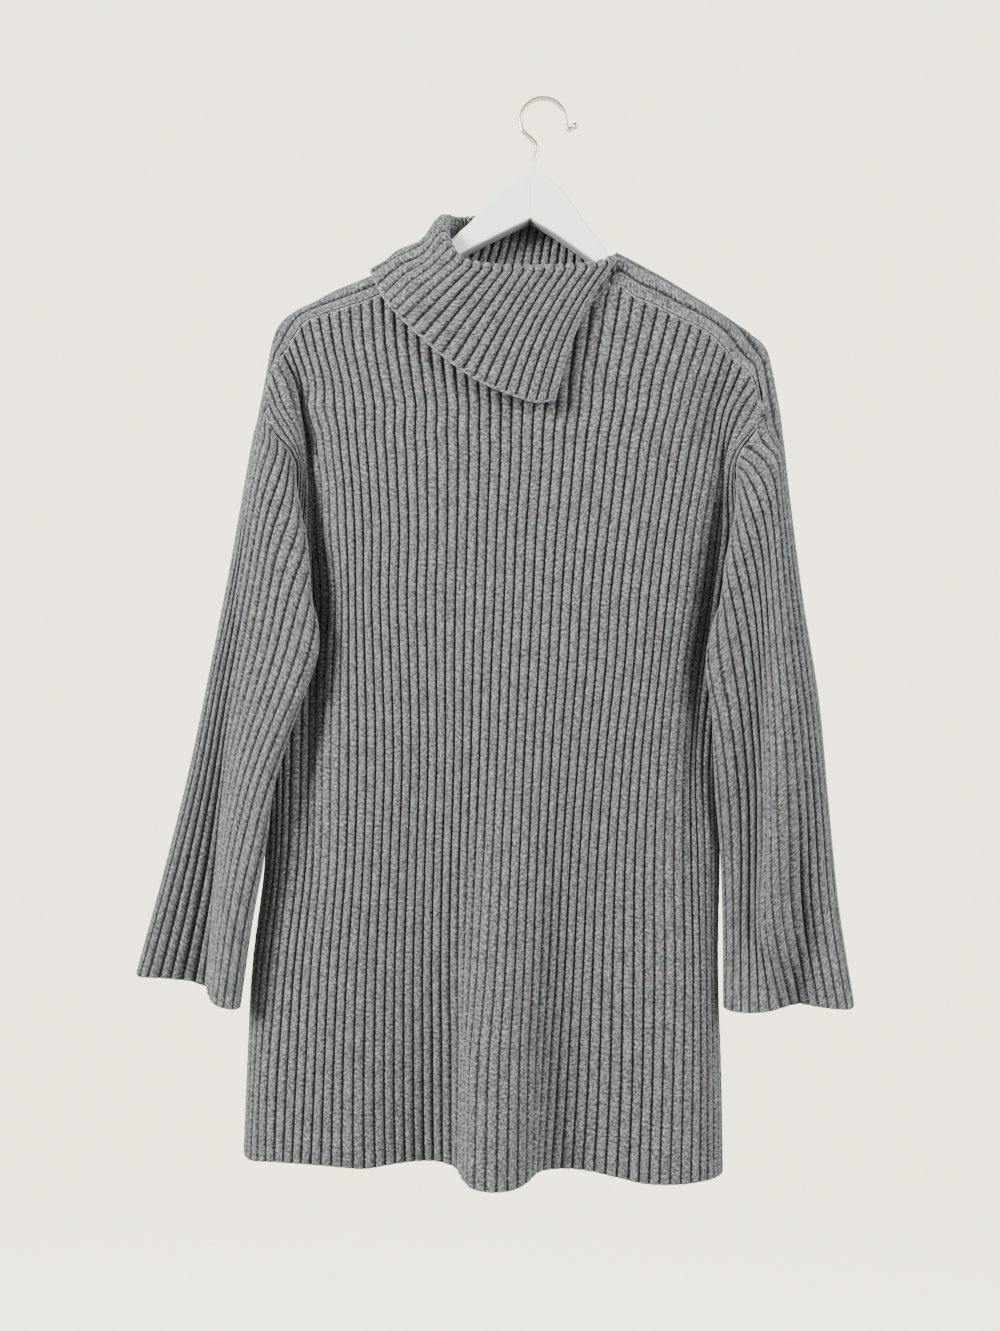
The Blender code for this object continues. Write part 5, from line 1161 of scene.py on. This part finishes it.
def knit_look():
    """Heather grey wool: light and dark fibres, stitches, painted shade in the grooves and along the seams,
    sewn and bound edges.
    """
    n = Nodes("knit")
    knit = n.put("ShaderNodeAttribute", attribute_name="knit").outputs["Vector"]
    sewn = n.put("ShaderNodeAttribute", attribute_name="sewn").outputs["Vector"]
    across, along, crest = n.put("ShaderNodeSeparateXYZ", {0: knit}).outputs
    seam, edge, inside = n.put("ShaderNodeSeparateXYZ", {0: sewn}).outputs

    def grain(wide, high, detail, roughness, colour=False):
        # the inner side reads the noise elsewhere, so that it doesn't repeat the outer one
        at = n.put("ShaderNodeCombineXYZ", {0: n.times(across, 1 / wide),
                                            1: n.times(along, 1 / high), 2: n.times(inside, 37.0)})
        return n.noise(at.outputs[0], 1.0, detail, roughness, colour)

    fibres = grain(1.8, 2.5, 2.0, 0.55)
    yarn = grain(3.4, 2.4, 2.0, 0.5)
    patches = grain(9.0, 16.0, 2.0, 0.5)
    tone = n.plus(n.fit(fibres, 0.36, 0.64, 0.0, 0.46), n.fit(yarn, 0.36, 0.64, 0.0, 0.38))
    tone = n.plus(tone, n.fit(patches, 0.34, 0.66, 0.0, 0.16))
    ramp = n.put("ShaderNodeValToRGB", {"Fac": tone})
    first, last = ramp.color_ramp.elements
    first.position, first.color = 0.17, (*KNIT_DARK, 1)
    last.position, last.color = 0.84, (*KNIT_LIGHT, 1)
    middle = ramp.color_ramp.elements.new(0.5)
    middle.color = (*KNIT_MIDDLE, 1)
    tint = grain(7.0, 14.0, 1.0, 0.5, colour=True)
    colour = n.mix(0.14, ramp.outputs["Color"], tint, "OVERLAY")
    # thin stitches along the seams, a bound line along the free edges
    thread = n.times(n.fit(seam, 1.2, 2.8, 1.0, 0.0), n.fit(fibres, 0.42, 0.56, 0.0, 0.65))
    bound = n.times(n.fit(edge, 1.1, 2.0, 1.0, 0.0), n.fit(yarn, 0.4, 0.6, 0.1, 0.7))
    colour = n.mix(n.math("MAXIMUM", thread, bound), colour, (*KNIT_THREAD, 1))
    # painted shade: the grooves are darkened in the colour, with ragged edges
    ragged = n.plus(crest, n.fit(fibres, 0.3, 0.7, -0.22, 0.22))
    groove_shade = n.fit(ragged, 0.05, 0.75, GROOVE_SHADE, 1.0)
    # painted shade: a thin dark line along each seam
    groove_shade = n.times(groove_shade, n.fit(seam, 0.1, 0.5, 0.62, 1.0))
    shade = n.put("ShaderNodeCombineColor", {0: groove_shade, 1: groove_shade, 2: groove_shade}).outputs[0]
    colour = n.mix(1.0, colour, shade, "MULTIPLY")
    n.feed(n.shader.inputs["Base Color"], colour)
    # stitches: three columns of V's to a rib
    wale = n.math("FRACT", n.times(across, STITCH_COLUMNS / RIB_PITCH))
    skew = n.math("ABSOLUTE", n.math("SUBTRACT", wale, 0.5))
    course = n.math("FRACT", n.plus(n.times(along, 1 / STITCH_ROW), n.times(skew, STITCH_LEAN)))
    leg = n.math("FRACT", n.times(skew, 2.0))
    stitch = n.times(n.math("SINE", n.times(course, math.pi)), n.math("SINE", n.times(leg, math.pi)))
    bumps = n.plus(n.times(stitch, STITCH_DEPTH), fibres)
    bump = n.put("ShaderNodeBump", {"Strength": 0.55, "Distance": 0.0007, "Height": bumps})
    n.feed(n.shader.inputs["Normal"], bump.outputs[0])
    n.shader.inputs["Roughness"].default_value = 0.92
    n.shader.inputs["Specular IOR Level"].default_value = 0.15
    n.shader.inputs["Sheen Weight"].default_value = 0.15
    n.shader.inputs["Sheen Roughness"].default_value = 0.5
    return n.material


def paint_look():
    """White satin paint on wood, with painted shade underneath where the paint is also thinner, the mitre
    joint and a bare spot below it.
    """
    n = Nodes("painted_wood")
    texture_at = n.put("ShaderNodeTexCoord")
    object_at = texture_at.outputs["Object"]
    brush = n.put("ShaderNodeMapping", {"Vector": object_at, "Scale": (60, 200, 200)})
    grain = n.noise(brush.outputs[0], 1.0, 3.0, 0.55)
    wear = n.noise(object_at, 60.0, 3.0, 0.6)
    x, y, z = n.put("ShaderNodeSeparateXYZ", {0: object_at}).outputs
    off = n.math("ABSOLUTE", n.math("SUBTRACT", x, HANGER_APEX[0] * MM))
    joint = n.times(n.fit(off, 0.0002, 0.0005, 1.0, 0.0), n.fit(z, -0.07, -0.074, 0.0, 1.0))
    colour = n.mix(n.fit(grain, 0.3, 0.7), PAINT, PAINT_LIGHT)
    colour = n.mix(n.fit(wear, 0.62, 0.75, 0.0, 0.25), colour, PAINT_WORN)
    # painted shade: the board is greyer where it faces down, partly for less light there and partly for
    # thinner paint
    facing = n.put("ShaderNodeSeparateXYZ", {0: texture_at.outputs["Normal"]})
    down = n.times(facing.outputs[2], -1.0)
    colour = n.mix(n.fit(down, 0.35, 0.75, 0.0, 0.9), colour, UNDER_SHADE_THIN_PAINT)
    colour = n.mix(n.times(joint, 0.35), colour, JOINT_TONE)
    bare = n.times(n.fit(off, 0.0012, 0.0026, 1.0, 0.0), n.fit(z, -0.1105, -0.1118, 0.0, 1.0))
    colour = n.mix(n.times(bare, n.fit(wear, 0.35, 0.5, 0.3, 1.0)), colour, BARE_WOOD)
    n.feed(n.shader.inputs["Base Color"], colour)
    n.feed(n.shader.inputs["Roughness"], n.fit(grain, 0.3, 0.7, 0.3, 0.42))
    height = n.math("SUBTRACT", n.times(grain, 0.3), joint)
    bump = n.put("ShaderNodeBump", {"Strength": 0.25, "Distance": 0.0002, "Height": height})
    n.feed(n.shader.inputs["Normal"], bump.outputs[0])
    return n.material


def chrome_look():
    """Plated wire, a little dull in places."""
    n = Nodes("hook_steel")
    object_at = n.put("ShaderNodeTexCoord").outputs["Object"]
    dull = n.noise(object_at, 120.0, 3.0, 0.6)
    colour = n.mix(n.fit(dull, 0.35, 0.7), WIRE, WIRE_DULL)
    n.feed(n.shader.inputs["Base Color"], colour)
    n.shader.inputs["Metallic"].default_value = 1.0
    n.feed(n.shader.inputs["Roughness"], n.fit(dull, 0.3, 0.7, 0.18, 0.34))
    return n.material


def paper_look():
    """Pale paper that glows a little, so that it stays even all round."""
    n = Nodes("paper")
    n.shader.inputs["Base Color"].default_value = (*PAPER, 1)
    n.shader.inputs["Roughness"].default_value = 0.95
    n.shader.inputs["Emission Color"].default_value = (*PAPER, 1)
    n.shader.inputs["Emission Strength"].default_value = PAPER_GLOW
    return n.material


# ---- studio -------------------------------------------------------------------------------
def studio():
    """A round cove of pale paper, a pale sky and two soft lamps, the left one stronger."""
    profile = [(0, FLOOR), (COVE_RADIUS - COVE_BEND, FLOOR)]
    profile += [(COVE_RADIUS - COVE_BEND * (1 - math.sin(a)), FLOOR + COVE_BEND * (1 - math.cos(a)))
                for a in np.radians(np.linspace(0, 90, 16)[1:])]
    profile += [(COVE_RADIUS, FLOOR + COVE_HEIGHT)]
    sides = 96
    turn = np.arange(sides) / sides * 2 * math.pi
    verts = [(r * math.cos(t), r * math.sin(t), z) for r, z in profile for t in turn]
    faces = ring_faces(len(profile), sides, capped=False)
    cove = mesh_object("cove", np.array(verts) / MM, faces, paper_look())
    cove.visible_diffuse = False
    cove.visible_shadow = False

    world = bpy.data.worlds.new("sky")
    world.use_nodes = True
    background = world.node_tree.nodes["Background"]
    background.inputs["Color"].default_value = (*SKY, 1)
    background.inputs["Strength"].default_value = SKY_STRENGTH
    bpy.context.scene.world = world

    for name, place, size, power, colour in LAMPS:
        light = bpy.data.lights.new(name, "AREA")
        light.shape = "RECTANGLE"
        light.size, light.size_y = size
        light.energy = power
        light.color = colour
        lamp = bpy.data.objects.new(name, light)
        lamp.location = place
        aim = Vector(LAMPS_AIM) - Vector(place)
        lamp.rotation_euler = aim.to_track_quat("-Z", "Y").to_euler()
        bpy.context.scene.collection.objects.link(lamp)


def camera():
    """Straight on, level with the sweater's waist."""
    data = bpy.data.cameras.new("camera")
    data.sensor_fit = "VERTICAL"
    data.sensor_height = 36
    data.lens = LENS
    data.clip_end = 50
    obj = bpy.data.objects.new("camera", data)
    obj.location = EYE
    obj.rotation_euler = (math.pi / 2, 0, 0)
    bpy.context.scene.collection.objects.link(obj)
    bpy.context.scene.camera = obj


def main():
    cloth = make_cloth(knit_look())
    board, wire = hanger_wood(paint_look()), hanger_hook(chrome_look())
    for name, obj in cloth.items():
        obj.name = "knit_" + name
        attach(obj, "root")
        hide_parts(name)
    for obj, node, slot in ((board, "hanger_wood", "painted_wood"), (wire, "hanger_hook", "hook_steel")):
        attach(obj, "root")
        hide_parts(node)
    studio()
    camera()


main()
